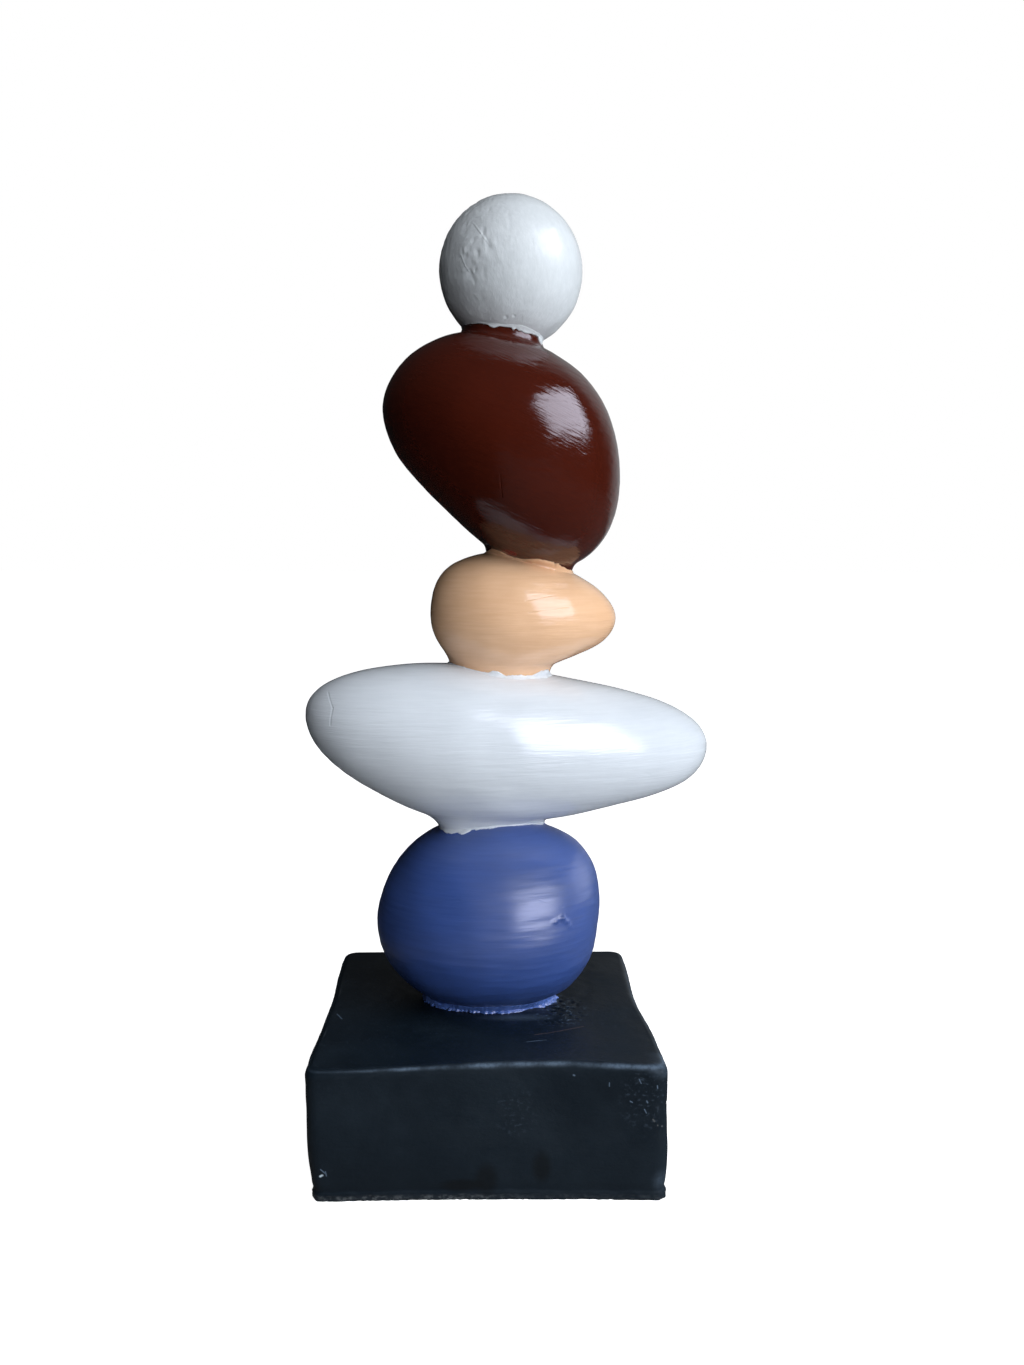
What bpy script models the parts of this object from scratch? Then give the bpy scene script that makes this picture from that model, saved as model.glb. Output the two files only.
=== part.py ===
"""Stone cairn: five painted, cast stones balanced in a stack on a square block.

Metres, +Z up. The origin is the middle of the block's flat underside, +X runs along
the front face to the right and +Y from the front face to the back. Each stone is a
sphere drawn out to its three half sizes, with a few broad waves round its outline,
tilted and turned. A short oval neck widens the place where it meets the next one,
and each stone is bedded on what is under it.
"""
import math
from dataclasses import dataclass

import bmesh
import bpy
import numpy as np
from mathutils import Matrix

MM = 0.001
OBJECT_NAME = "stone_cairn"
BED_GAP = 0.3 * MM
SMOOTH_UNDER = math.radians(40)

# Block
BLOCK_HALF = 60.0
BLOCK_HEIGHT = 46.3
CORNER_RADIUS = 4.0
TOP_EDGE_RADIUS = 3.0
EDGE_SEGMENTS = 3
SIDE_STRIPS = 12

# Thin cast flange round the block's foot, with a sloping shoulder above it
FLANGE_HEIGHT = 2.6
FLANGE_SHOULDER = 0.8
FLANGE_REACH = 0.8

# The stack stands a little behind the block's middle
STACK_Y = 4.0
STONE_DETAIL = 4
NECK_SIDES = 32


@dataclass(frozen=True)
class Side:
    """One side of the block, drawn in between its corners. Sizes are in millimetres.

    At the top, middle is how far the side stands from the block's axis at narrowest,
    and low_rise and high_rise how much further out it stands towards its two ends,
    which it reaches after low_span and high_span. At the foot it runs evenly from
    foot_low to foot_high, less a shallow dip between them.
    """

    middle: float
    narrowest: float
    low_rise: float
    low_span: float
    high_rise: float
    high_span: float
    foot_low: float
    foot_high: float
    foot_dip: float


FRONT = Side(55.3, 20.0, 5.2, 80.0, 4.0, 38.0, foot_low=58.7, foot_high=61.0, foot_dip=1.2)
BACK = Side(59.2, 10.0, 2.4, 55.0, 0.8, 40.0, foot_low=60.6, foot_high=59.6, foot_dip=1.0)
LEFT = Side(60.3, -1.0, 1.5, 45.0, 0.9, 40.0, foot_low=59.2, foot_high=59.8, foot_dip=0.6)
RIGHT = Side(58.4, 7.0, 2.5, 46.0, 1.5, 42.0, foot_low=60.3, foot_high=59.0, foot_dip=1.0)


@dataclass(frozen=True)
class Wave:
    """A broad wave round a stone's outline, seen from the front.

    crests is how many crests it has, height their height as a share of the stone's
    half size, and towards the angle of one crest, in degrees from +X up to +Z.
    """

    crests: int
    height: float
    towards: float


@dataclass(frozen=True)
class Neck:
    """A short upright oval neck of a stone, in millimetres. It turns with its stone."""

    x: float
    half_width: float
    half_depth: float
    low: float
    high: float


@dataclass(frozen=True)
class Stone:
    """A stone's size and place in millimetres and degrees, and its paint.

    tilt raises the stone's right end and turn takes it back, away from the front.
    """

    name: str
    x: float
    z: float
    half_length: float
    half_depth: float
    half_height: float
    tilt: float
    turn: float
    waves: tuple
    necks: tuple
    colour: tuple
    roughness: float


BLUE_STONE = Stone(
    name="blue_stone",
    x=1.7,
    z=80.4,
    half_length=43.7,
    half_depth=37.0,
    half_height=38.0,
    tilt=5.2,
    turn=0.0,
    waves=(Wave(3, 0.011, 44), Wave(4, 0.022, 34), Wave(5, 0.013, 32)),
    necks=(Neck(1.3, 26.0, 17.4, 40.0, 55.0),),
    colour=(0.048, 0.084, 0.305),
    roughness=0.35,
)
LONG_WHITE_STONE = Stone(
    name="long_white_stone",
    x=8.1,
    z=147.5,
    half_length=78.3,
    half_depth=31.0,
    half_height=29.3,
    tilt=-5.9,
    turn=12.0,
    waves=(Wave(3, 0.066, 18), Wave(4, 0.011, -12), Wave(5, 0.015, -27), Wave(6, 0.011, 29)),
    necks=(Neck(2.5, 19.9, 12.5, 108.0, 126.0),),
    colour=(0.68, 0.73, 0.80),
    roughness=0.15,
)
PEACH_STONE = Stone(
    name="peach_stone",
    x=11.7,
    z=195.7,
    half_length=35.2,
    half_depth=24.0,
    half_height=22.6,
    tilt=-3.1,
    turn=10.0,
    waves=(Wave(3, 0.071, 3), Wave(4, 0.012, -4), Wave(5, 0.010, -13)),
    necks=(Neck(5.3, 18.8, 13.5, 168.0, 184.0),),
    colour=(0.70, 0.46, 0.29),
    roughness=0.18,
)
BROWN_STONE = Stone(
    name="brown_stone",
    x=8.2,
    z=257.5,
    half_length=49.4,
    half_depth=42.0,
    half_height=35.6,
    tilt=-42.5,
    turn=0.0,
    waves=(Wave(3, 0.054, -31), Wave(4, 0.010, -43), Wave(5, 0.012, 10)),
    necks=(Neck(16.0, 15.8, 10.0, 208.0, 226.0), Neck(5.9, 14.5, 14.5, 288.0, 302.5)),
    colour=(0.050, 0.010, 0.007),
    roughness=0.12,
)
WHITE_BALL = Stone(
    name="white_ball",
    x=9.0,
    z=320.4,
    half_length=26.3,
    half_depth=26.5,
    half_height=27.0,
    tilt=7.5,
    turn=0.0,
    waves=(),
    necks=(),
    colour=(0.66, 0.70, 0.72),
    roughness=0.25,
)
STACK = (BLUE_STONE, LONG_WHITE_STONE, PEACH_STONE, BROWN_STONE, WHITE_BALL)

BLOCK_COLOUR = (0.010, 0.014, 0.020)
BLOCK_ROUGHNESS = 0.65


def clear_scene():
    """Removes every object from the scene."""
    for item in list(bpy.data.objects):
        bpy.data.objects.remove(item, do_unlink=True)


def new_collection(name):
    """Adds a collection under the scene's own."""
    collection = bpy.data.collections.new(name)
    bpy.context.scene.collection.children.link(collection)
    return collection


def paint(name, colour, roughness):
    """Makes a Principled material of one colour."""
    material = bpy.data.materials.new(name)
    material.use_nodes = True
    shader = material.node_tree.nodes["Principled BSDF"]
    shader.inputs["Base Color"].default_value = (*colour, 1.0)
    shader.inputs["Roughness"].default_value = roughness
    shader.inputs["Metallic"].default_value = 0.0
    return material


def add_object(name, shape, collection):
    """Turns a bmesh in millimetres into a new object, smooth between its sharp edges."""
    bmesh.ops.scale(shape, verts=shape.verts, vec=(MM, MM, MM))
    mesh = bpy.data.meshes.new(name)
    shape.to_mesh(mesh)
    shape.free()
    mesh.shade_smooth()
    mesh.set_sharp_from_angle(angle=SMOOTH_UNDER)
    item = bpy.data.objects.new(name, mesh)
    collection.objects.link(item)
    return item


def mark_as_cutter(item):
    """Shows an object as a wire guide that isn't part of the model."""
    item.hide_render = True
    item.display_type = "WIRE"


def combine(item, other, operation):
    """Joins the other object's shape to an object, or cuts it out."""
    boolean = item.modifiers.new(f"{operation.lower()}_{other.name}", "BOOLEAN")
    boolean.operation = operation
    boolean.solver = "EXACT"
    boolean.object = other


def stone_points(stone, directions, margin):
    """Moves points of a unit sphere onto the stone, or to a margin outside it.

    The radius is one plus each wave, which fades towards the front and the back. The
    result is stretched to the half sizes, tilted about Y, turned about Z and put in
    its place in the stack.
    """
    x, y, z = directions.T
    from_front = np.hypot(x, z)
    angle = np.arctan2(z, x)
    radius = np.ones(len(directions))
    for wave in stone.waves:
        crest = angle - math.radians(wave.towards)
        radius += wave.height * from_front**wave.crests * np.cos(wave.crests * crest)
    half = np.array([stone.half_length, stone.half_depth, stone.half_height])
    x, y, z = (directions * radius[:, None] * (half + margin)).T
    tilt = math.radians(stone.tilt)
    x, z = math.cos(tilt) * x - math.sin(tilt) * z, math.sin(tilt) * x + math.cos(tilt) * z
    turn = math.radians(stone.turn)
    x, y = math.cos(turn) * x - math.sin(turn) * y, math.sin(turn) * x + math.cos(turn) * y
    return np.stack([x + stone.x, y + STACK_Y, z + stone.z], axis=1)


def stone_form(stone, margin):
    """Makes a stone's form from an icosphere."""
    shape = bmesh.new()
    bmesh.ops.create_icosphere(shape, subdivisions=STONE_DETAIL, radius=1.0)
    directions = np.array([vert.co[:] for vert in shape.verts])
    directions /= np.linalg.norm(directions, axis=1)[:, None]
    for vert, point in zip(shape.verts, stone_points(stone, directions, margin)):
        vert.co = point
    return shape


def neck_form(neck, turn, margin):
    """Makes a neck from a cylinder, turned like its stone."""
    height = neck.high - neck.low + 2 * margin
    shape = bmesh.new()
    bmesh.ops.create_cone(
        shape, cap_ends=True, segments=NECK_SIDES, radius1=1.0, radius2=1.0, depth=height
    )
    oval = (neck.half_width + margin, neck.half_depth + margin, 1.0)
    bmesh.ops.scale(shape, verts=shape.verts, vec=oval)
    turned = Matrix.Rotation(math.radians(turn), 3, "Z")
    bmesh.ops.rotate(shape, verts=shape.verts, matrix=turned)
    middle = (neck.x, STACK_Y, (neck.low + neck.high) / 2)
    bmesh.ops.translate(shape, verts=shape.verts, vec=middle)
    return shape


def build_stone(name, stone, collection, cutters, margin=0.0):
    """Makes a stone's form with its necks joined on, or the same a margin larger."""
    item = add_object(name, stone_form(stone, margin), collection)
    for number, neck in enumerate(stone.necks, 1):
        form = neck_form(neck, stone.turn, margin)
        part = add_object(f"{name}_neck_{number}", form, cutters)
        mark_as_cutter(part)
        combine(item, part, "UNION")
    return item


def build_bed(name, stone, cutters):
    """Makes the shape that a stone presses into the one above it."""
    bed = build_stone(name, stone, cutters, cutters, BED_GAP / MM)
    mark_as_cutter(bed)
    return bed


def build_block_bed(cutters):
    """Makes a plain box whose top is the bed's gap above the block's top."""
    shape = bmesh.new()
    bmesh.ops.create_cube(shape, size=2 * BLOCK_HALF)
    top = BLOCK_HEIGHT + BED_GAP / MM
    bmesh.ops.translate(shape, verts=shape.verts, vec=(0, 0, top - BLOCK_HALF))
    bed = add_object("block_bed", shape, cutters)
    mark_as_cutter(bed)
    return bed


def side_reach(side, along, height):
    """Gives how far a side stands out, at a place along it and a height.

    At the top it rises from its narrowest place to each end by half a cosine wave,
    and at the foot it is a straight line with a shallow dip. Between the two it
    changes evenly, and the flange stands out at the bottom.
    """
    rise, span = side.low_rise, side.low_span
    if along > side.narrowest:
        rise, span = side.high_rise, side.high_span
    way = min(abs(along - side.narrowest) / span, 1.0)
    at_top = side.middle + rise * (1 - math.cos(math.pi * way)) / 2
    across = along / BLOCK_HALF
    straight = side.foot_low + (side.foot_high - side.foot_low) * (1 + across) / 2
    at_foot = straight - side.foot_dip * (1 - across**2)
    up = height / BLOCK_HEIGHT
    stops = (FLANGE_HEIGHT, FLANGE_HEIGHT + FLANGE_SHOULDER)
    flange = float(np.interp(height, stops, (FLANGE_REACH, 0.0)))
    return at_foot + (at_top - at_foot) * up + flange


def block_grid():
    """Makes a cube of side two, cut into strips, and at the heights of the flange."""
    shape = bmesh.new()
    bmesh.ops.create_cube(shape, size=2.0)
    bmesh.ops.scale(shape, verts=shape.verts, vec=(1, 1, BLOCK_HEIGHT / 2))
    bmesh.ops.translate(shape, verts=shape.verts, vec=(0, 0, BLOCK_HEIGHT / 2))
    planes = []
    for height in (FLANGE_HEIGHT, FLANGE_HEIGHT + FLANGE_SHOULDER):
        planes.append(((0, 0, height), (0, 0, 1)))
    for strip in range(1, SIDE_STRIPS):
        place = 2 * strip / SIDE_STRIPS - 1
        planes.append(((place, 0, 0), (1, 0, 0)))
        planes.append(((0, place, 0), (0, 1, 0)))
    for point, normal in planes:
        everything = shape.verts[:] + shape.edges[:] + shape.faces[:]
        bmesh.ops.bisect_plane(shape, geom=everything, plane_co=point, plane_no=normal)
    return shape


def weigh_edges(shape):
    """Marks which of the block's edges are rounded, and how much."""
    small = 0.01
    weights = shape.edges.layers.float.new("bevel_weight_edge")
    for edge in shape.edges:
        ends = [vert.co for vert in edge.verts]
        on_x = all(abs(abs(end.x) - 1) < small for end in ends)
        on_y = all(abs(abs(end.y) - 1) < small for end in ends)
        on_top = all(end.z > BLOCK_HEIGHT - small for end in ends)
        above_flange = min(end.z for end in ends) > FLANGE_HEIGHT + FLANGE_SHOULDER - small
        if on_x and on_y:
            edge[weights] = 1.0 if above_flange else FLANGE_REACH / CORNER_RADIUS
        elif on_top and (on_x or on_y):
            edge[weights] = TOP_EDGE_RADIUS / CORNER_RADIUS


def build_plinth(parts):
    """Makes the block: four sides drawn in, a flange at the foot and round edges."""
    shape = block_grid()
    weigh_edges(shape)
    for vert in shape.verts:
        x, y, z = vert.co
        side_x = RIGHT if x > 0 else LEFT
        side_y = BACK if y > 0 else FRONT
        vert.co.x = x * side_reach(side_x, y * BLOCK_HALF, z)
        vert.co.y = y * side_reach(side_y, x * BLOCK_HALF, z)
    plinth = add_object("plinth", shape, parts)
    bevel = plinth.modifiers.new("round_edges", "BEVEL")
    bevel.limit_method = "WEIGHT"
    bevel.width = CORNER_RADIUS * MM
    bevel.segments = EDGE_SEGMENTS
    plinth.data.materials.append(paint("plinth_paint", BLOCK_COLOUR, BLOCK_ROUGHNESS))


def main():
    """Builds the block and the stack, each stone bedded on what is under it."""
    clear_scene()
    parts = new_collection(OBJECT_NAME)
    cutters = new_collection("cutters")
    build_plinth(parts)
    bed = build_block_bed(cutters)
    for stone in STACK:
        item = build_stone(stone.name, stone, parts, cutters)
        combine(item, bed, "DIFFERENCE")
        item.data.materials.append(paint(f"{stone.name}_paint", stone.colour, stone.roughness))
        if stone is not STACK[-1]:
            bed = build_bed(f"{stone.name}_bed", stone, cutters)


main()
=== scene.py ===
"""Dresses the stone cairn: five painted, cast stones balanced on a square black block.

Sizes are in millimetres, in the frame of the solids: the origin is the middle of the
block's flat underside, +X runs to the right along its front face, +Y to its back and
+Z up. Each stone is a sphere drawn out to three half sizes, with a few broad waves
round its outline. Its surface is worked out again here on a fine grid, with its necks,
dents and pits, and the paint that runs over each joint is a ragged lip of its own.
"""
from __future__ import annotations

import logging
import math
from collections.abc import Callable
from dataclasses import dataclass
from enum import Enum
from typing import Protocol

import bpy
import numpy as np
from mathutils import Matrix, Vector

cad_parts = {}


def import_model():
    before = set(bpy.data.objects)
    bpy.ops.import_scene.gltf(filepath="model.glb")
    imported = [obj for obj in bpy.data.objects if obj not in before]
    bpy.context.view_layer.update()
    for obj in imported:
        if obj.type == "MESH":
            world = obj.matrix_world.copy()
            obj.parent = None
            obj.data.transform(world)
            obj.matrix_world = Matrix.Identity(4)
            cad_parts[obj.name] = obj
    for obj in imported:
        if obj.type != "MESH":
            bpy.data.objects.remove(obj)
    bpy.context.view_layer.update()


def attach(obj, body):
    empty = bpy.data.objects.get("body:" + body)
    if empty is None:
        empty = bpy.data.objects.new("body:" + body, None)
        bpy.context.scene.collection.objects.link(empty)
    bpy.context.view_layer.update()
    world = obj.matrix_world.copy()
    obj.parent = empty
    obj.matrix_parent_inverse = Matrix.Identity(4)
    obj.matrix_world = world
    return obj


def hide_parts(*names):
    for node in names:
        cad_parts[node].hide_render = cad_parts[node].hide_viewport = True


Pair = tuple[float, float]
Triple = tuple[float, float, float]
Quad = tuple[float, float, float, float]
Array = np.ndarray
Socket = bpy.types.NodeSocket
Piece = bpy.types.Object

MM = 0.001
LOG = logging.getLogger("stone_cairn")

# The stack stands a little behind the block's middle
STACK_Y = 4.0

# Grids: a stone's columns and rows, and a lip's columns and section points
COLUMNS = 320
ROWS = 240
LIP_COLUMNS = 720
LIP_STEPS = 14

# Depth to which a piece goes on, out of sight, inside the one that it stands on
SINK = 0.6

# Halvings of a way in a search, and the least length that one is divided by
BISECTIONS = 26
TINY = 1e-9

# Least square of a step, and least length of a way down or out
LEAST_SQUARE = 1e-12
LEAST_WAY = 1e-6

# Ranges of a value that grows, and of one that falls
WHOLE = (0.0, 1.0)
FALLING = (1.0, 0.0)

# How much the finer waves add to a noise texture
CLOUD_ROUGHNESS = 0.55


def noise(points: Array, size: float, seed: int, waves: int = 40) -> Array:
    """Gives smooth noise: a sum of cosine waves in random directions.

    Each wave is a cosine of the way along its own direction, with a length near size,
    and the sum is divided so that its typical height is one.

    Args:
        points: Places, one a row, in millimetres.
        size: Typical length of a wave, in millimetres.
        seed: Number that the directions, lengths and starts are drawn from.
        waves: How many waves are added.

    Returns:
        The noise at each point.
    """
    draw = np.random.default_rng(seed)
    directions = draw.normal(size=(waves, 3))
    directions /= np.linalg.norm(directions, axis=1)[:, None]
    shortest, longest = 0.7, 1.6
    lengths = size * draw.uniform(shortest, longest, waves)
    starts = draw.uniform(0, 2 * math.pi, waves)
    turns = points @ (directions * (2 * math.pi / lengths)[:, None]).T + starts
    return np.cos(turns).sum(axis=1) * math.sqrt(2 / waves)


def ease(values: Array, low: float, high: float) -> Array:
    """Rises from 0 at low to 1 at high, as 3t squared less 2t cubed."""
    share = np.clip((values - low) / (high - low), 0.0, 1.0)
    return share * share * (3 - 2 * share)


def bell(places: Array, middle: Pair, sizes: Pair, flatness: float = 1.0) -> Array:
    """Gives a bell over a flat oval: e to the power of minus the squared distance.

    Args:
        places: Places with two coordinates, one a row.
        middle: The oval's middle.
        sizes: Its two half sizes, in which the distance is counted.
        flatness: Power of the squared distance, which flattens the top if over one.

    Returns:
        The height at each place, up to one.
    """
    away = (((places - middle) / sizes) ** 2).sum(axis=1)
    return np.exp(-(away**flatness))


def boundary(within: Callable[[Array], Array], near: Array, far: Array) -> Array:
    """Finds where something ends between two values, by halving the way again and again.

    Args:
        within: Tells which values lie within it.
        near: Values that lie within it.
        far: Values that lie beyond it.

    Returns:
        The last values that lie within it.
    """
    for _ in range(BISECTIONS):
        middle = (near + far) / 2
        inside = within(middle)
        near = np.where(inside, middle, near)
        far = np.where(inside, far, middle)
    return near


def smooth_max(first: Array, second: Array, blend: Array) -> Array:
    """Takes the larger value, rounded where the two come within blend of each other.

    The rounding adds a quarter of blend times the square of how near they are.
    """
    near = np.maximum(blend - np.abs(first - second), 0.0) / blend
    return np.maximum(first, second) + near * near * blend / 4


def new_piece(name: str, points: Array, faces: list[Array]) -> Piece:
    """Makes a smooth closed mesh whose faces point out, with its place in its mesh.

    Args:
        name: Name of the piece.
        points: Its corners in millimetres, one a row.
        faces: Arrays of corner numbers, each of triangles or of quads.

    Returns:
        The new object, at the origin.
    """
    volume = 0.0
    for group in faces:
        for step in range(1, group.shape[1] - 1):
            a, b, c = points[group[:, 0]], points[group[:, step]], points[group[:, step + 1]]
            volume += np.einsum("ij,ij->i", a, np.cross(b, c)).sum()
    if volume < 0:
        faces = [group[:, ::-1] for group in faces]
    mesh = bpy.data.meshes.new(name)
    mesh.vertices.add(len(points))
    mesh.vertices.foreach_set("co", (points * MM).astype(np.float32).ravel())
    corners = np.concatenate([group.ravel() for group in faces])
    sizes = np.concatenate([np.full(len(group), group.shape[1]) for group in faces])
    mesh.loops.add(len(corners))
    mesh.loops.foreach_set("vertex_index", corners.astype(np.int32))
    mesh.polygons.add(len(sizes))
    mesh.polygons.foreach_set("loop_start", (np.cumsum(sizes) - sizes).astype(np.int32))
    mesh.update(calc_edges=True)
    mesh.validate()
    mesh.shade_smooth()
    piece = bpy.data.objects.new(name, mesh)
    bpy.context.scene.collection.objects.link(piece)
    return piece


def grid_faces(rows: int, columns: int, closed: bool) -> Array:
    """Numbers the quads of a grid that closes round its columns.

    Args:
        rows: How many rows of points there are.
        columns: How many points a row has.
        closed: Whether the last row joins the first.

    Returns:
        Four corner numbers for each quad.
    """
    numbers = np.arange(rows * columns).reshape(rows, columns)
    below = np.roll(numbers, -1, axis=0)
    if not closed:
        numbers, below = numbers[:-1], below[:-1]
    beside, across = np.roll(numbers, -1, axis=1), np.roll(below, -1, axis=1)
    return np.stack([numbers, beside, across, below], axis=-1).reshape(-1, 4)


def capped_grid(rings: Array, first: Array, last: Array) -> tuple[Array, list]:
    """Closes a grid of rings with a fan to one point at each end.

    Args:
        rings: Points as rows, columns and three coordinates.
        first: The point before the first ring.
        last: The point after the last ring.

    Returns:
        All the points, and the arrays of faces.
    """
    rows, columns = rings.shape[:2]
    points = np.vstack([rings.reshape(-1, 3), first, last])
    ring = np.arange(columns)
    start, end = rows * columns, rows * columns + 1
    bottom = ring + (rows - 1) * columns
    fans = [
        np.stack([np.full(columns, start), np.roll(ring, -1), ring], axis=1),
        np.stack([np.full(columns, end), bottom, np.roll(bottom, -1)], axis=1),
    ]
    return points, [grid_faces(rows, columns, closed=False), *fans]


class Surface(Protocol):
    """Anything that another piece can stand on or hang under."""

    def height_at(self, x: Array, y: Array, upper: bool) -> Array:
        """Gives the height of the surface over or under a place."""


@dataclass(frozen=True)
class BlockTop:
    """The block's flat top."""

    height: float

    def height_at(self, x: Array, y: Array, upper: bool) -> Array:
        """Gives the same height everywhere."""
        return np.full_like(x, self.height)


@dataclass(frozen=True)
class Wave:
    """A broad wave round a stone's outline, seen from the front.

    crests is how many crests it has, height their height as a share of the stone's
    half size, and towards the angle of one crest, in degrees from +X up to +Z.
    """

    crests: int
    height: float
    towards: float


@dataclass(frozen=True)
class StoneForm:
    """A stone's size and place, in millimetres and degrees.

    tilt raises its right end and turn takes that end back, away from the front.
    """

    x: float
    z: float
    half_length: float
    half_depth: float
    half_height: float
    tilt: float
    turn: float = 0.0
    waves: tuple[Wave, ...] = ()

    @property
    def centre(self) -> Array:
        """The middle of the stone."""
        return np.array([self.x, STACK_Y, self.z])

    @property
    def half_sizes(self) -> Array:
        """The three half sizes, along the stone's own axes."""
        return np.array([self.half_length, self.half_depth, self.half_height])

    @property
    def axes(self) -> Array:
        """The stone's own axes as columns: tilted about Y, then turned about Z."""
        tilt, turn = math.radians(self.tilt), math.radians(self.turn)
        tilted = np.array(
            [[math.cos(tilt), 0, -math.sin(tilt)], [0, 1, 0], [math.sin(tilt), 0, math.cos(tilt)]]
        )
        turned = np.array(
            [[math.cos(turn), -math.sin(turn), 0], [math.sin(turn), math.cos(turn), 0], [0, 0, 1]]
        )
        return turned @ tilted

    def radius(self, directions: Array) -> Array:
        """Gives one plus each wave, which fades towards the front and the back.

        Args:
            directions: Unit directions along the stone's own axes, one a row.

        Returns:
            The radius of the drawn-out sphere that each direction reaches.
        """
        x, _, z = directions.T
        from_front = np.hypot(x, z)
        angle = np.arctan2(z, x)
        radius = np.ones(len(directions))
        for wave in self.waves:
            crest = angle - math.radians(wave.towards)
            radius += wave.height * from_front**wave.crests * np.cos(wave.crests * crest)
        return radius

    def reach(self, directions: Array) -> Array:
        """Gives the way from the centre to the surface, stretched, tilted and turned."""
        drawn_out = directions * self.radius(directions)[:, None] * self.half_sizes
        return drawn_out @ self.axes.T

    def share(self, points: Array) -> Array:
        """Gives how far out points lie: under 1 inside the stone, 1 on its surface."""
        inner = ((points - self.centre) @ self.axes) / self.half_sizes
        size = np.maximum(np.linalg.norm(inner, axis=1), TINY)
        return size / self.radius(inner / size[:, None])


BLOCK_TOP = BlockTop(46.3)
BLUE = StoneForm(
    1.7,
    80.4,
    43.7,
    37.0,
    38.0,
    tilt=5.2,
    waves=(Wave(3, 0.011, 44), Wave(4, 0.022, 34), Wave(5, 0.013, 32)),
)
LONG_WHITE = StoneForm(
    8.1,
    147.5,
    78.3,
    31.0,
    29.3,
    tilt=-5.9,
    turn=12.0,
    waves=(Wave(3, 0.066, 18), Wave(4, 0.011, -12), Wave(5, 0.015, -27), Wave(6, 0.011, 29)),
)
PEACH = StoneForm(
    11.7,
    195.7,
    35.2,
    24.0,
    22.6,
    tilt=-3.1,
    turn=10.0,
    waves=(Wave(3, 0.071, 3), Wave(4, 0.012, -4), Wave(5, 0.010, -13)),
)
BROWN = StoneForm(
    8.2,
    257.5,
    49.4,
    42.0,
    35.6,
    tilt=-42.5,
    waves=(Wave(3, 0.054, -31), Wave(4, 0.010, -43), Wave(5, 0.012, 10)),
)
BALL = StoneForm(9.0, 320.4, 26.3, 26.5, 27.0, tilt=7.5)


@dataclass(frozen=True)
class Oval:
    """An upright oval wall, turned about Z by turn degrees."""

    x: float
    half_width: float
    half_depth: float
    turn: float = 0.0

    @property
    def axes(self) -> Array:
        """The oval's own two axes as columns."""
        turn = math.radians(self.turn)
        return np.array([[math.cos(turn), -math.sin(turn)], [math.sin(turn), math.cos(turn)]])

    def share_along(self, start: Array, ways: Array) -> Array:
        """Gives the share of each way at which it meets the wall from inside.

        It solves the quadratic of a point that moves along the way and has, in the
        oval's own half sizes, a distance of one from its middle.

        Args:
            start: The point that all the ways start from.
            ways: The ways, one a row.

        Returns:
            The shares, over one where the wall is beyond the way's end.
        """
        half = np.array([self.half_width, self.half_depth])
        near = ((start[:2] - (self.x, STACK_Y)) @ self.axes) / half
        step = (ways[:, :2] @ self.axes) / half
        a = np.maximum((step**2).sum(axis=1), LEAST_SQUARE)
        b = step @ near
        c = near @ near - 1
        return (-b + np.sqrt(b * b - a * c)) / a


@dataclass(frozen=True)
class Neck:
    """A short neck of a stone, which ends out of sight inside its neighbour."""

    oval: Oval
    end: float
    fillet: float
    upper: bool = False


@dataclass(frozen=True)
class Ripple:
    """Relief that covers a stone: how high it is, how long, and how much it is drawn out."""

    height: float
    size: float
    seed: int
    stretch: Triple = (1.0, 1.0, 1.0)

    def at(self, points: Array) -> Array:
        """Gives the ripple's height at points: noise on coordinates divided by stretch."""
        return self.height * noise(points / np.array(self.stretch), self.size, self.seed)


RIDGE_TEARS = Ripple(0.5, 1.8, 61)


@dataclass(frozen=True)
class Ridge:
    """A ragged ridge of paint along a straight line, in millimetres."""

    start: Triple
    end: Triple
    width: float
    height: float

    def at(self, points: Array) -> Array:
        """Gives its height: a bell of the distance to the line, broken up by noise."""
        start, way = np.array(self.start), np.subtract(self.end, self.start)
        share = np.clip((points - start) @ way / (way @ way), 0.0, 1.0)
        away = np.linalg.norm(points - start - share[:, None] * way, axis=1)
        torn = 1 + RIDGE_TEARS.at(points)
        return self.height * torn * np.exp(-((away / self.width) ** 2))


@dataclass(frozen=True)
class Swell:
    """A broad rise round a middle in millimetres, or a hollow if its height is negative."""

    middle: Triple
    width: float
    height: float

    def at(self, points: Array) -> Array:
        """Gives its height: a bell of the distance to the middle."""
        away = np.linalg.norm(points - np.array(self.middle), axis=1)
        return self.height * np.exp(-((away / self.width) ** 2))


@dataclass(frozen=True)
class Scratch:
    """A thin scratch in the paint along a straight line, in millimetres."""

    start: Triple
    end: Triple
    width: float = 0.45
    depth: float = 0.12


@dataclass(frozen=True)
class Pit:
    """A round hollow in the surface, with a slight rim."""

    x: float
    y: float
    z: float
    radius: float
    depth: float

    def at(self, points: Array) -> Array:
        """Gives the pit's height: a wide, low bell for the rim, less a narrow, high one."""
        rim, rim_width = 0.35, 1.6
        away = np.linalg.norm(points - (self.x, self.y, self.z), axis=1) / self.radius
        return self.depth * (rim * np.exp(-((away / rim_width) ** 2)) - (1 + rim) * np.exp(-(away**2)))


class StrokeKind(Enum):
    """Ways in which a finish was put on."""

    LEVEL = "level brush strokes"
    SLANTED = "brush strokes that follow a leaning stone"
    DABBED = "short dabs in all directions"


@dataclass(frozen=True)
class Paint:
    """A brushed paint: its colours, gloss and brush strokes.

    shade is the colour where the coat is thin or dusty. stroke_depth is the height of
    the fine brush strokes in millimetres and stroke_width their typical width.
    """

    name: str
    colour: Triple
    shade: Triple
    roughness: float
    roughness_spread: float
    strokes: StrokeKind
    stroke_width: float
    stroke_depth: float
    lean: float = 0.0
    gloss: float = 1.0


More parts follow.
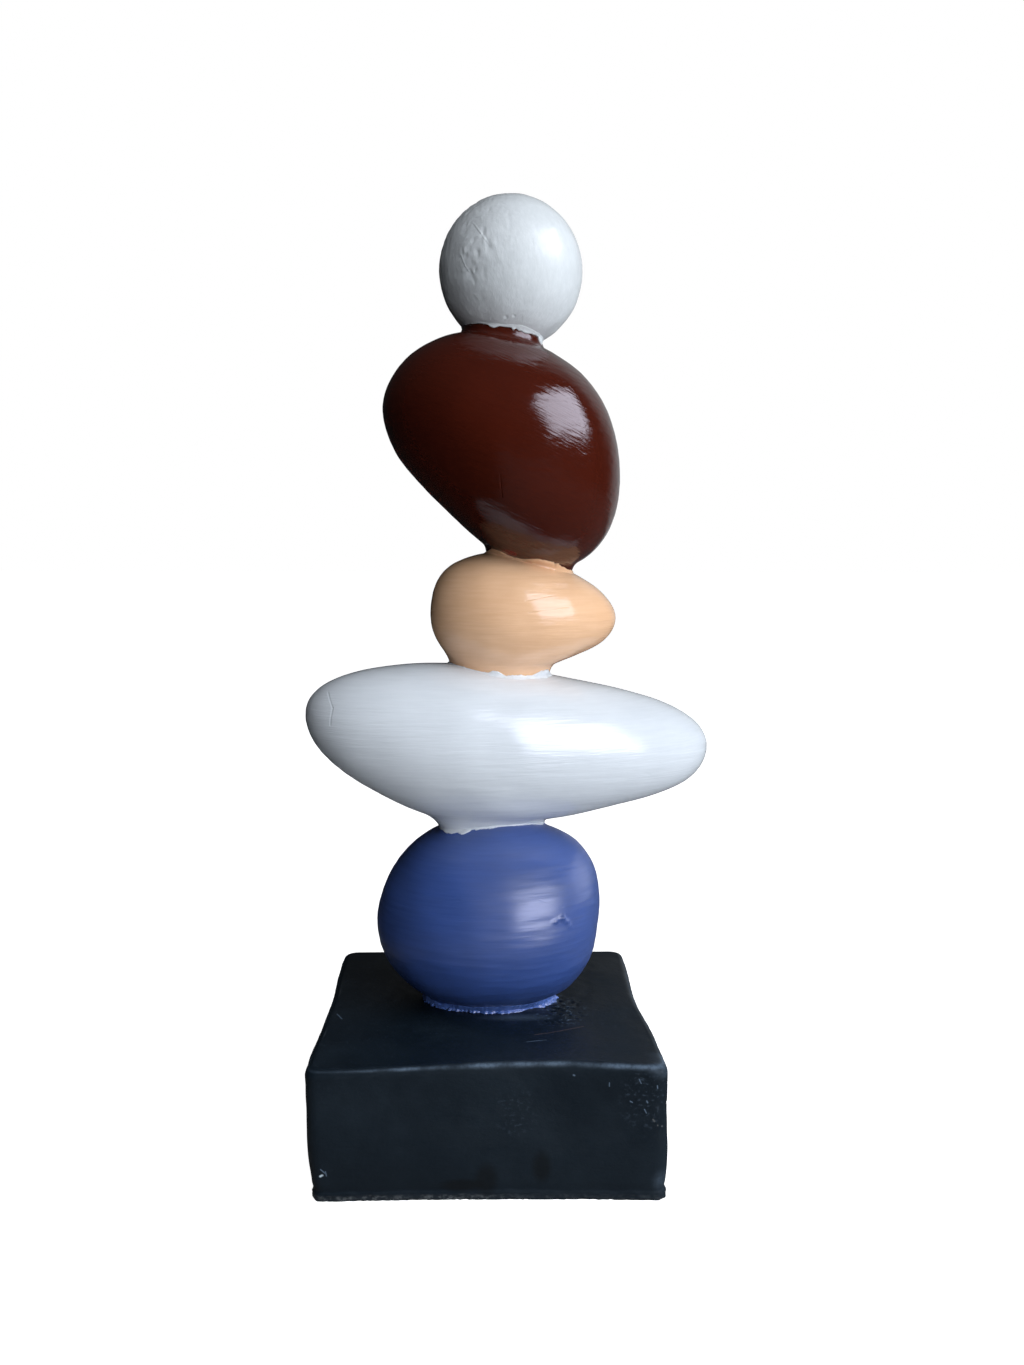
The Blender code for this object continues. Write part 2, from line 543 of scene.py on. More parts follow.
class NodeSheet:
    """Adds nodes to one node tree, in the order in which they are used."""

    def __init__(self, tree: bpy.types.NodeTree, coordinates: str) -> None:
        """Starts with the coordinates that the other nodes use.

        Args:
            tree: The node tree.
            coordinates: Name of the coordinates.
        """
        self.nodes, self.links = tree.nodes, tree.links
        self.place = self.nodes.new("ShaderNodeTexCoord").outputs[coordinates]

    def parts(self) -> tuple[Socket, Socket, Socket]:
        """Gives the coordinates one by one."""
        node = self.nodes.new("ShaderNodeSeparateXYZ")
        self.join(self.place, node.inputs[0])
        return tuple(node.outputs)

    def join(self, source: Socket, target: Socket) -> None:
        """Links one socket to another."""
        self.links.new(source, target)

    def mapped(self, scale: Triple, lean: float = 0.0) -> Socket:
        """Turns the object's coordinates about Y by lean degrees, then scales them.

        Args:
            scale: Factors for X, Y and Z.
            lean: Degrees by which the pattern leans down to the right.

        Returns:
            The coordinates.
        """
        turned = self.nodes.new("ShaderNodeMapping")
        turned.inputs["Rotation"].default_value = (0.0, math.radians(-lean), 0.0)
        self.join(self.place, turned.inputs["Vector"])
        scaled = self.nodes.new("ShaderNodeMapping")
        scaled.inputs["Scale"].default_value = scale
        self.join(turned.outputs["Vector"], scaled.inputs["Vector"])
        return scaled.outputs["Vector"]

    def cloud(self, vector: Socket, scale: float, detail: float) -> Socket:
        """Adds a noise texture and gives its value."""
        texture = self.nodes.new("ShaderNodeTexNoise")
        texture.inputs["Scale"].default_value = scale
        texture.inputs["Detail"].default_value = detail
        texture.inputs["Roughness"].default_value = CLOUD_ROUGHNESS
        self.join(vector, texture.inputs["Vector"])
        return texture.outputs["Fac"]

    def ranged(self, value: Socket, span: Pair, to: Pair = WHOLE) -> Socket:
        """Maps a value from one range to another and keeps it inside.

        Args:
            value: The value.
            span: Where it starts and ends.
            to: What it becomes there.

        Returns:
            The mapped value.
        """
        node = self.nodes.new("ShaderNodeMapRange")
        for name, number in zip(("From Min", "From Max", "To Min", "To Max"), (*span, *to)):
            node.inputs[name].default_value = number
        self.join(value, node.inputs["Value"])
        return node.outputs["Result"]

    def maths(self, kind: str, first: Socket, second: Socket | float) -> Socket:
        """Does a sum with two values, the second of which may be a plain number."""
        node = self.nodes.new("ShaderNodeMath")
        node.operation = kind
        self.join(first, node.inputs[0])
        if isinstance(second, float):
            node.inputs[1].default_value = second
        else:
            self.join(second, node.inputs[1])
        return node.outputs[0]

    def mixed(self, share: Socket, first: Triple | Socket, second: Triple) -> Socket:
        """Mixes two colours.

        Args:
            share: How much of the second colour shows.
            first: A colour, or a socket that gives one.
            second: A colour.

        Returns:
            The mixed colour.
        """
        node = self.nodes.new("ShaderNodeMix")
        node.data_type = "RGBA"
        self.join(share, node.inputs["Factor"])
        if isinstance(first, tuple):
            node.inputs[6].default_value = (*first, 1.0)
        else:
            self.join(first, node.inputs[6])
        node.inputs[7].default_value = (*second, 1.0)
        return node.outputs[2]

    def spot(self, centre: Triple, radii: Triple) -> Socket:
        """Gives 1 in the middle of an oval spot, falling to 0 at its edge.

        Args:
            centre: The middle of the spot, in millimetres.
            radii: Its three half sizes, in millimetres.

        Returns:
            The value.
        """
        node = self.nodes.new("ShaderNodeMapping")
        node.inputs["Scale"].default_value = tuple(1 / (MM * radius) for radius in radii)
        node.inputs["Location"].default_value = tuple(-c / r for c, r in zip(centre, radii))
        self.join(self.place, node.inputs["Vector"])
        length = self.nodes.new("ShaderNodeVectorMath")
        length.operation = "LENGTH"
        self.join(node.outputs["Vector"], length.inputs[0])
        return self.ranged(length.outputs["Value"], WHOLE, FALLING)

    def line(self, start: Triple, end: Triple, width: float, flat: bool = False) -> Socket:
        """Gives 0 along a straight line, rising to 1 at its width.

        The nearest place of the line is its start plus its way times the share of the
        way, kept between 0 and 1, and the value is the distance from there.

        Args:
            start: Where the line starts, in millimetres.
            end: Where it ends.
            width: Its half width, in millimetres.
            flat: Whether depth along Y plays no part.

        Returns:
            The value.
        """
        way = (Vector(end) - Vector(start)) * MM
        from_start = self.vector("SUBTRACT", self.place, Vector(start) * MM)
        if flat:
            from_start = self.vector("MULTIPLY", from_start.outputs["Vector"], Vector((1.0, 0.0, 1.0)))
        share = self.vector("DOT_PRODUCT", from_start.outputs["Vector"], way / way.length_squared)
        kept = self.ranged(share.outputs["Value"], WHOLE)
        nearest = self.nodes.new("ShaderNodeVectorMath")
        nearest.operation = "SCALE"
        nearest.inputs[0].default_value = way
        self.join(kept, nearest.inputs["Scale"])
        away = self.vector("DISTANCE", from_start.outputs["Vector"], nearest.outputs["Vector"])
        return self.ranged(away.outputs["Value"], (0.0, width * MM))

    def vector(self, kind: str, first: Socket, second: Socket | Vector) -> bpy.types.Node:
        """Does a sum with two vectors, the second of which may be plain numbers."""
        node = self.nodes.new("ShaderNodeVectorMath")
        node.operation = kind
        self.join(first, node.inputs[0])
        if isinstance(second, Vector):
            node.inputs[1].default_value = second
        else:
            self.join(second, node.inputs[1])
        return node


class PaintSheet(NodeSheet):
    """The nodes of one material, with a Principled shader."""

    def __init__(
        self, name: str, gloss: float, colour: Triple = (0.8, 0.8, 0.8), roughness: float = 0.5
    ) -> None:
        """Makes the material.

        Args:
            name: Name of the material.
            gloss: Strength of its mirroring, one being twice that of plain varnish.
            colour: Its colour, unless nodes give that.
            roughness: Its roughness, unless nodes give that.
        """
        self.material = bpy.data.materials.new(name)
        self.material.use_nodes = True
        super().__init__(self.material.node_tree, "Object")
        self.shader = self.nodes["Principled BSDF"]
        self.shader.inputs["Specular IOR Level"].default_value = gloss
        self.shader.inputs["Base Color"].default_value = (*colour, 1.0)
        self.shader.inputs["Roughness"].default_value = roughness

    def bump(self, height: Socket, depth: float) -> None:
        """Raises the surface by a height from 0 to 1 times depth millimetres, or sinks it."""
        node = self.nodes.new("ShaderNodeBump")
        node.invert = depth < 0
        node.inputs["Strength"].default_value = 1.0
        node.inputs["Distance"].default_value = abs(depth) * MM
        self.join(height, node.inputs["Height"])
        earlier = self.shader.inputs["Normal"]
        if earlier.is_linked:
            self.join(earlier.links[0].from_socket, node.inputs["Normal"])
        self.join(node.outputs["Normal"], earlier)


def stroke_scale(paint: Paint) -> Triple:
    """Gives the factors that draw a noise out along a paint's brush strokes."""
    fine = 1 / (paint.stroke_width * MM)
    drawn_out = {
        StrokeKind.DABBED: (0.45, 0.45, 0.3),
        StrokeKind.SLANTED: (1 / 14, 1 / 5, 1.0),
        StrokeKind.LEVEL: (1 / 16, 1 / 16, 1.0),
    }
    x, y, z = drawn_out[paint.strokes]
    return fine * x, fine * y, fine * z


def brushed(paint: Paint) -> PaintSheet:
    """Makes a brushed paint: strokes in its height, gloss and colour, and soft clouds.

    Args:
        paint: The finish.

    Returns:
        The sheet of nodes, for a piece to add its own marks to.
    """
    stroke_share, finer_share = 0.45, 0.35
    shade_span, gloss_span = (0.34, 0.70), (0.38, 0.64)
    sheet = PaintSheet(paint.name, paint.gloss)
    along = sheet.mapped(stroke_scale(paint), paint.lean)
    strokes = sheet.cloud(along, scale=1.0, detail=3.0)
    clouds = sheet.maths("MULTIPLY", sheet.cloud(sheet.place, scale=45.0, detail=4.0), 1 - stroke_share)
    blend = sheet.maths("ADD", sheet.maths("MULTIPLY", strokes, stroke_share), clouds)
    coat = sheet.mixed(sheet.ranged(blend, shade_span), paint.colour, paint.shade)
    sheet.join(coat, sheet.shader.inputs["Base Color"])
    rough = sheet.ranged(blend, gloss_span, (paint.roughness, paint.roughness + paint.roughness_spread))
    sheet.join(rough, sheet.shader.inputs["Roughness"])
    sheet.bump(strokes, paint.stroke_depth)
    sheet.bump(sheet.cloud(along, scale=2.7, detail=2.0), finer_share * paint.stroke_depth)
    return sheet


BLUE_PAINT = Paint(
    "blue_satin_paint",
    colour=(0.040, 0.086, 0.31),
    shade=(0.032, 0.070, 0.25),
    roughness=0.30,
    roughness_spread=0.10,
    strokes=StrokeKind.LEVEL,
    stroke_width=0.9,
    stroke_depth=0.055,
)
# A lighter copy of the blue for the foot's skirt: painted light, which stands in for the light that the skirt
# catches.
BLUE_SKIRT_LIT_PAINT = Paint(
    "blue_skirt_lit_paint",
    colour=(0.105, 0.205, 0.62),
    shade=(0.078, 0.158, 0.50),
    roughness=0.30,
    roughness_spread=0.10,
    strokes=StrokeKind.LEVEL,
    stroke_width=0.9,
    stroke_depth=0.04,
)
WHITE_PAINT = Paint(
    "white_gloss_paint",
    colour=(0.70, 0.74, 0.80),
    shade=(0.63, 0.67, 0.73),
    roughness=0.04,
    roughness_spread=0.04,
    strokes=StrokeKind.LEVEL,
    stroke_width=0.9,
    stroke_depth=0.13,
    gloss=0.9,
)
PEACH_PAINT = Paint(
    "peach_gloss_paint",
    colour=(0.82, 0.52, 0.325),
    shade=(0.73, 0.43, 0.25),
    roughness=0.05,
    roughness_spread=0.05,
    strokes=StrokeKind.LEVEL,
    stroke_width=0.9,
    stroke_depth=0.10,
    gloss=0.75,
)
BROWN_PAINT = Paint(
    "brown_gloss_paint",
    colour=(0.055, 0.0080, 0.0036),
    shade=(0.046, 0.0068, 0.0032),
    roughness=0.06,
    roughness_spread=0.07,
    strokes=StrokeKind.SLANTED,
    stroke_width=0.8,
    stroke_depth=0.11,
    lean=24.0,
    gloss=0.40,
)
BALL_PAINT = Paint(
    "ball_gloss_paint",
    colour=(0.65, 0.68, 0.71),
    shade=(0.57, 0.60, 0.63),
    roughness=0.14,
    roughness_spread=0.12,
    strokes=StrokeKind.DABBED,
    stroke_width=0.8,
    stroke_depth=0.07,
    gloss=0.20,
)


@dataclass
class PaintedStone:
    """One stone: its form, necks and relief, and what it is bedded in."""

    node: str
    slot: str
    form: StoneForm
    paint: Paint
    necks: tuple[Neck, ...] = ()
    beds: tuple[StoneForm, ...] = ()
    floor: float | None = None
    ripples: tuple[Ripple, ...] = ()
    pits: tuple[Pit, ...] = ()
    ridges: tuple[Ridge, ...] = ()
    swells: tuple[Swell, ...] = ()
    scratches: tuple[Scratch, ...] = ()
    inset: float = 0.2

    def directions(self) -> Array:
        """Spreads unit directions in rings from straight up to straight down.

        Each is a cosine of the ring's angle times the way up, plus a sine of it times
        a direction that goes round, all along the stone's own axes.
        """
        up = self.form.axes.T @ np.array([0.0, 0.0, 1.0]) / self.form.half_sizes
        up /= np.linalg.norm(up)
        side = np.cross(up, (0.0, 1.0, 0.0))
        side /= np.linalg.norm(side)
        across = np.cross(up, side)
        down = np.linspace(0, math.pi, ROWS + 1)[:, None, None]
        turn = np.linspace(0, 2 * math.pi, COLUMNS, endpoint=False)[None, :, None]
        level = np.cos(turn) * side + np.sin(turn) * across
        return np.cos(down) * up + np.sin(down) * level

    def relief(self, points: Array) -> Array:
        """Adds up all the marks in the surface at points on the form, less the inset."""
        height = np.full(len(points), -self.inset)
        for mark in (*self.ripples, *self.pits, *self.ridges, *self.swells):
            height += mark.at(points)
        return height

    def neck_share(self, neck: Neck, ways: Array) -> Array:
        """Gives how far along each way a neck reaches, and 0 on its other side."""
        drop = ways[:, 2] if neck.upper else -ways[:, 2]
        facing = drop > LEAST_WAY
        to_end = abs(neck.end - self.form.z) / np.where(facing, drop, 1.0)
        wall = neck.oval.share_along(self.form.centre, ways)
        return np.where(facing, np.minimum(wall, to_end), 0.0)

    def bedded(self, ways: Array, shares: Array, other: StoneForm) -> Array:
        """Ends each way a little inside another stone, by halving the way to it."""
        limit = 1 - SINK / other.half_height
        deep = other.share(self.form.centre + ways * shares[:, None]) < limit
        ways, far = ways[deep], shares[deep]
        result = shares.copy()
        result[deep] = boundary(
            lambda share: other.share(self.form.centre + ways * share[:, None]) >= limit,
            np.zeros_like(far),
            far,
        )
        return result

    def shares(self, ways: Array) -> Array:
        """Gives how far along each way the surface lies, with its relief and necks."""
        size = np.linalg.norm(ways, axis=1)
        shares = 1 + self.relief(self.form.centre + ways) / size
        for neck in self.necks:
            shares = smooth_max(shares, self.neck_share(neck, ways), neck.fillet / size)
        return shares

    def within(self, points: Array) -> Array:
        """Tells which points lie inside the stone's surface or its necks."""
        inner = ((points - self.form.centre) @ self.form.axes) / self.form.half_sizes
        size = np.maximum(np.linalg.norm(inner, axis=1), TINY)
        ways = self.form.reach(inner / size[:, None])
        return self.form.share(points) < self.shares(ways)

    def height_at(self, x: Array, y: Array, upper: bool) -> Array:
        """Finds the surface over or under a place.

        Args:
            x: Places along X.
            y: Places along Y.
            upper: Whether the surface above the stone's middle is wanted.

        Returns:
            The heights of the surface.
        """
        middle = np.full_like(x, self.form.z)
        past_it = 1.5 * max(self.form.half_sizes)
        way = past_it if upper else -past_it
        return boundary(lambda z: self.within(np.stack([x, y, z], axis=1)), middle, middle + way)

    def surface(self) -> Array:
        """Works out the stone's points: form, necks, relief and bed, ring by ring."""
        directions = self.directions()
        ways = self.form.reach(directions.reshape(-1, 3))
        shares = self.shares(ways)
        for other in self.beds:
            shares = self.bedded(ways, shares, other)
        if self.floor is not None:
            down = np.maximum(-ways[:, 2], LEAST_WAY)
            shares = np.minimum(shares, (self.form.z - self.floor) / down)
        points = self.form.centre + ways * shares[:, None]
        return points.reshape(directions.shape)

    def marks(self, sheet: PaintSheet) -> None:
        """Cuts the scratches into the paint."""
        for scratch in self.scratches:
            sheet.bump(sheet.line(scratch.start, scratch.end, scratch.width), scratch.depth)

    def build(self) -> Piece:
        """Makes the stone, dresses it and puts it in the place of its solid."""
        rows = self.surface()
        points, faces = capped_grid(rows[1:-1], rows[0, 0], rows[-1, 0])
        piece = new_piece(f"{self.node}_painted", points, faces)
        sheet = brushed(self.paint)
        self.marks(sheet)
        piece.data.materials.append(sheet.material)
        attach(piece, "root")
        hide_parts(self.node)
        return piece


@dataclass(frozen=True)
class Dents:
    """Small dents, or crests if their height is over nothing: noise over a threshold."""

    height: float
    size: float
    threshold: float
    seed: int

    def at(self, points: Array) -> Array:
        """Gives their height: what lies over the threshold, times the dents' height."""
        return self.height * np.maximum(noise(points, self.size, self.seed) - self.threshold, 0.0)


@dataclass
class DentedBall(PaintedStone):
    """The ball, whose cast surface is dented and pitted, most on its upper left.

    Each scar is a rougher place. The dents are drawn out upright.
    """

    scars: tuple[Swell, ...] = (
        Swell((-2.4, -19.6, 323.8), 4.5, 0.75),
        Swell((-5.8, -17.4, 315.9), 4.5, 0.75),
    )
    dents: tuple[Dents, ...] = (
        Dents(-0.12, 2.9, 0.7, 71),
        Dents(-0.10, 1.7, 0.8, 72),
        Dents(0.09, 2.2, 0.9, 73),
    )
    drawn_out: Triple = (1.0, 1.0, 1.9)
    least_rough: float = 0.16
    left_rough: float = 0.62
    low_share: float = 0.3
    dab_depth: float = 0.07

    def relief(self, points: Array) -> Array:
        """Adds dents to the ripples, deeper to the left.

        The dents are multiplied by how rough the place is. That is the least
        roughness, plus the left's times a share that grows to the top, plus the scars'.
        """
        left = ease(-points[:, 0], -18.0, 8.0)
        high = ease(points[:, 2], 300.0, 326.0)
        rough = self.least_rough + self.left_rough * left * (self.low_share + (1 - self.low_share) * high)
        rough += sum(scar.at(points) for scar in self.scars)
        upright = points / np.array(self.drawn_out)
        return super().relief(points) + rough * sum(dents.at(upright) for dents in self.dents)

    def marks(self, sheet: PaintSheet) -> None:
        """Roughens the paint with fine upright dabs, more so on the left."""
        super().marks(sheet)
        x, _, _ = sheet.parts()
        left = sheet.ranged(x, (-14.0 * MM, 22.0 * MM), (1.0, 0.22))
        upright = sheet.mapped((820.0, 820.0, 360.0))
        dabs = sheet.ranged(sheet.cloud(upright, scale=1.0, detail=3.0), (0.3, 0.7))
        sheet.bump(sheet.maths("MULTIPLY", dabs, left), self.dab_depth)


@dataclass
class ChippedBrown(PaintedStone):
    """The brown stone, with a patch of red undercoat by its lower neck."""

    undercoat: Triple = (0.16, 0.012, 0.010)
    patch_middle: Triple = (8.6, -8.5, 218.6)
    patch_sizes: Triple = (4.6, 6.0, 2.4)

    def marks(self, sheet: PaintSheet) -> None:
        """Mixes the red undercoat in where the brown coat is missing."""
        super().marks(sheet)
        patch = sheet.ranged(sheet.spot(self.patch_middle, self.patch_sizes), (0.15, 0.45))
        socket = sheet.shader.inputs["Base Color"]
        sheet.join(sheet.mixed(patch, socket.links[0].from_socket, self.undercoat), socket)


@dataclass(frozen=True)
class Tongue:
    """A place at the front where a lip's edge runs further, or less far if negative."""

    x: float
    width: float
    reach: float

    def at(self, x: Array) -> Array:
        """Gives its reach: a flat-topped bell, the cosine of which falls off fast."""
        return self.reach * np.exp(-((np.abs(x - self.x) / self.width) ** 3))


@dataclass
class PaintLip:
    """Paint that runs over a joint, from a neck's wall out on to a stone.

    The joint is the seam where the wall's stone comes out of the surface, and middle
    is the place along X that it goes round. climb is how far the paint goes along the
    wall and spread how far out over the surface, each with its own raggedness and
    tongues. wall_edge and stone_edge are how thick its two edges are, and fullness is
    how far it fills the corner. under is true where the surface lies above the joint.

    raggedness gives the height and length of the edges' waves. round_off is the share
    of a section that an edge's rounding takes. A section narrower than full_width is
    thinner. The hidden values are how deep the back lies in the two pieces.
    """

    name: str
    slot: str
    paint: Paint
    wall: PaintedStone
    surface: Surface
    middle: float
    climb: float
    spread: float
    climb_rag: float
    spread_rag: float
    wall_edge: float
    stone_edge: float
    seed: int
    climb_tongues: tuple[Tongue, ...] = ()
    spread_tongues: tuple[Tongue, ...] = ()
    under: bool = False
    least: float = 0.12
    fullness: float = 0.2
    longest: float = 45.0
    overhang: float = 6.0
    raggedness: tuple[Pair, ...] = ((0.5, 9.0), (0.35, 3.2), (0.2, 1.3))
    round_off: float = 0.22
    full_width: float = 0.9
    hidden_depth: float = 0.35
    hidden_corner: float = 0.6

    def edge(
        self,
        seam: Array,
        out: Array,
        reach: float,
        rag: float,
        tongues: tuple[Tongue, ...],
        seed: int,
    ) -> Array:
        """Gives how far an edge runs round the joint: its reach, noise and tongues.

        Args:
            seam: Points of the joint.
            out: Level directions out from its middle.
            reach: The edge's usual reach.
            rag: The size of its raggedness.
            tongues: Its own tongues at the front.
            seed: Number for its noise.

        Returns:
            The reach at each place, never under the least.
        """
        places = seam * (1, 1, 0)
        front = ease(-out[:, 1], 0.0, 0.25)
        lengths = np.full(len(seam), reach)
        for number, (height, size) in enumerate(self.raggedness):
            lengths += rag * height * noise(places, size, seed + number)
        for tongue in tongues:
            lengths += tongue.at(seam[:, 0]) * front
        return np.maximum(lengths, self.least)

    def section(self) -> Array:
        """Works out the lip's points, section by section round the joint.

        The joint lies where the way out over the surface leaves the wall's stone. The
        outside is a curve with three control points: on the wall, off the joint and
        on the surface. It is raised by the thickness, which swells in a quarter round
        from each edge. Three more points close the section inside the two pieces.
        """
        angle = np.linspace(0, 2 * math.pi, LIP_COLUMNS, endpoint=False)
        out = np.stack([np.cos(angle), np.sin(angle)], axis=1)
        level = np.column_stack([out, np.zeros(LIP_COLUMNS)])
        upright = np.array([0.0, 0.0, -1.0 if self.under else 1.0])
        middle = np.array([self.middle, STACK_Y])
        nothing, far = np.zeros(LIP_COLUMNS), np.full(LIP_COLUMNS, self.longest)

        def over_surface(way: Array) -> Array:
            """Gives the points of the surface a way out from the middle."""
            place = middle + out * way[:, None]
            height = self.surface.height_at(place[:, 0], place[:, 1], not self.under)
            return np.column_stack([place, height])

        way = boundary(lambda far_out: self.wall.within(over_surface(far_out)), nothing, far)
        seam = over_surface(way)
        climb = self.edge(seam, out, self.climb, self.climb_rag, self.climb_tongues, self.seed)
        spread = self.edge(seam, out, self.spread, self.spread_rag, self.spread_tongues, self.seed + 50)
        height = seam[:, 2] + upright[2] * climb

        def at_height(far_out: Array) -> Array:
            """Gives the points at the height that the paint climbs to."""
            return np.column_stack([middle + out * far_out[:, None], height])

        on_wall = boundary(lambda far_out: self.wall.within(at_height(far_out)), nothing, way + self.overhang)
        top = at_height(on_wall)
        end = over_surface(way + spread)
        up_wall = (top - seam) / np.linalg.norm(top - seam, axis=1)[:, None]
        over = (end - seam) / np.linalg.norm(end - seam, axis=1)[:, None]
        bisector = up_wall + over
        bisector /= np.linalg.norm(bisector, axis=1)[:, None]
        inwards = (up_wall * level).sum(axis=1)[:, None]
        from_wall_out = (up_wall @ upright)[:, None] * level - inwards * upright
        off_surface = (over * level).sum(axis=1)[:, None] * upright - (over @ upright)[:, None] * level
        corner = seam + self.fullness * bisector
        share = np.linspace(0, 1, LIP_STEPS)[:, None, None]
        curve = (1 - share) ** 2 * top + 2 * share * (1 - share) * corner + share**2 * end
        facing = (1 - share) * from_wall_out + share * off_surface
        facing /= np.linalg.norm(facing, axis=2)[:, :, None]
        from_wall = self.wall_edge * (1 - share) * self.rounded(share)
        from_stone = self.stone_edge * share * self.rounded(1 - share)
        wide = np.minimum(1.0, (climb + spread) / self.full_width)[None, :, None]
        outside = curve + facing * (from_wall + from_stone) * wide
        hidden = (
            end - self.hidden_depth * off_surface,
            seam - self.hidden_corner * bisector,
            top - self.hidden_depth * from_wall_out,
        )
        return np.concatenate([outside, np.stack(hidden)])

    def rounded(self, share: Array) -> Array:
        """Gives how full the lip is near an edge: a quarter of a circle, then one."""
        way = np.clip(share / self.round_off, 0, 1)
        return np.sqrt(np.clip(1 - (1 - way) ** 2, 0, 1))

    def build(self) -> Piece:
        """Makes the lip and dresses it in its paint."""
        rows = self.section()
        faces = grid_faces(rows.shape[0], rows.shape[1], closed=True)
        piece = new_piece(self.name, rows.reshape(-1, 3), [faces])
        piece.data.materials.append(brushed(self.paint).material)
        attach(piece, "root")
        return piece


@dataclass(frozen=True)
class Side:
    """One side of the block, drawn in between its corners.

    At the top, middle is how far the side stands from the block's axis at narrowest,
    and low_rise and high_rise how much further out it stands towards its two ends,
    which it reaches after low_span and high_span. At the foot it runs evenly from
    foot_low to foot_high, less a shallow dip between them.
    """

    middle: float
    narrowest: float
    low_rise: float
    low_span: float
    high_rise: float
    high_span: float
    foot_low: float
    foot_high: float
    foot_dip: float

    def reach(self, along: Array, height: Array, half: float, top: float) -> Array:
        """Gives how far the side stands out, at places along it and heights.

        At the top it rises from its narrowest place to each end by half a cosine
        wave, at the foot it is a straight line less a shallow bow, and between the
        two it changes evenly.

        Args:
            along: Places along the side.
            height: Heights over the block's underside.
            half: Half the block's width.
            top: The block's height.

        Returns:
            The distances from the block's axis.
        """
        later = along > self.narrowest
        rise = np.where(later, self.high_rise, self.low_rise)
        span = np.where(later, self.high_span, self.low_span)
        way = np.minimum(np.abs(along - self.narrowest) / span, 1.0)
        at_top = self.middle + rise * (1 - np.cos(math.pi * way)) / 2
        across = along / half
        straight = self.foot_low + (self.foot_high - self.foot_low) * (1 + across) / 2
        at_foot = straight - self.foot_dip * (1 - across**2)
        return at_foot + (at_top - at_foot) * height / top


@dataclass(frozen=True)
class BlockPaint:
    """The block's matt paint, and the paler grey-blue that serves both for rubbed paint and for painted
    highlights and a painted reflection.
    """

    colour: Triple = (0.0056, 0.0106, 0.0170)
    dusty: Triple = (0.0094, 0.0165, 0.0250)
    # Paler grey-blue for rubbed paint in marks and patches, and also painted highlight on the top's front
    # edge and a painted reflection before the foot
    worn_and_lit: Triple = (0.088, 0.128, 0.185)
    chalky: Triple = (0.076, 0.084, 0.092)
    chipped: Triple = (0.50, 0.60, 0.68)
    scratched: Triple = (0.085, 0.062, 0.060)
    dark: Triple = (0.0042, 0.0044, 0.0046)
    roughness_span: Pair = (0.42, 0.64)
    gloss: float = 0.4


@dataclass(frozen=True)
class Mark:
    """A short, straight mark in the block's paint: its ends and its half width.

    On the front its places are X and Z, and on the top X and Y.
    """

    start: Pair
    end: Pair
    width: float
    shade: Triple


BLOCK_PAINT = BlockPaint()
FRONT_MARKS = (
    Mark((-56.5, 9.1), (-55.8, 9.5), 0.55, BLOCK_PAINT.chipped),
    Mark((-56.3, 11.9), (-54.9, 10.4), 0.28, BLOCK_PAINT.worn_and_lit),
    Mark((-54.7, 11.0), (-54.4, 9.3), 0.28, BLOCK_PAINT.worn_and_lit),
    Mark((29.0, 42.2), (29.3, 42.1), 0.40, BLOCK_PAINT.worn_and_lit),
    Mark((41.0, 40.1), (41.0, 38.9), 0.28, BLOCK_PAINT.worn_and_lit),
    Mark((50.9, 41.8), (51.6, 40.4), 0.26, BLOCK_PAINT.worn_and_lit),
    Mark((57.0, 39.7), (57.1, 38.9), 0.30, BLOCK_PAINT.worn_and_lit),
    Mark((48.0, 34.1), (48.7, 33.7), 0.30, BLOCK_PAINT.worn_and_lit),
    Mark((53.5, 34.4), (53.8, 33.8), 0.32, BLOCK_PAINT.worn_and_lit),
    Mark((52.8, 31.4), (53.4, 30.2), 0.26, BLOCK_PAINT.worn_and_lit),
    Mark((55.7, 28.0), (56.1, 27.4), 0.45, BLOCK_PAINT.chalky),
    Mark((57.2, 26.1), (57.3, 25.9), 0.32, BLOCK_PAINT.chalky),
    Mark((58.7, 25.6), (58.9, 25.5), 0.36, BLOCK_PAINT.chalky),
)
TOP_MARKS = (
    Mark((17.2, -31.7), (26.5, -28.6), 0.32, BLOCK_PAINT.scratched),
    Mark((26.5, -28.6), (35.2, -24.7), 0.32, BLOCK_PAINT.scratched),
    Mark((14.0, -38.0), (21.0, -36.2), 0.30, BLOCK_PAINT.worn_and_lit),
    Mark((-56.1, -10.6), (-53.7, -15.5), 0.32, BLOCK_PAINT.worn_and_lit),
)


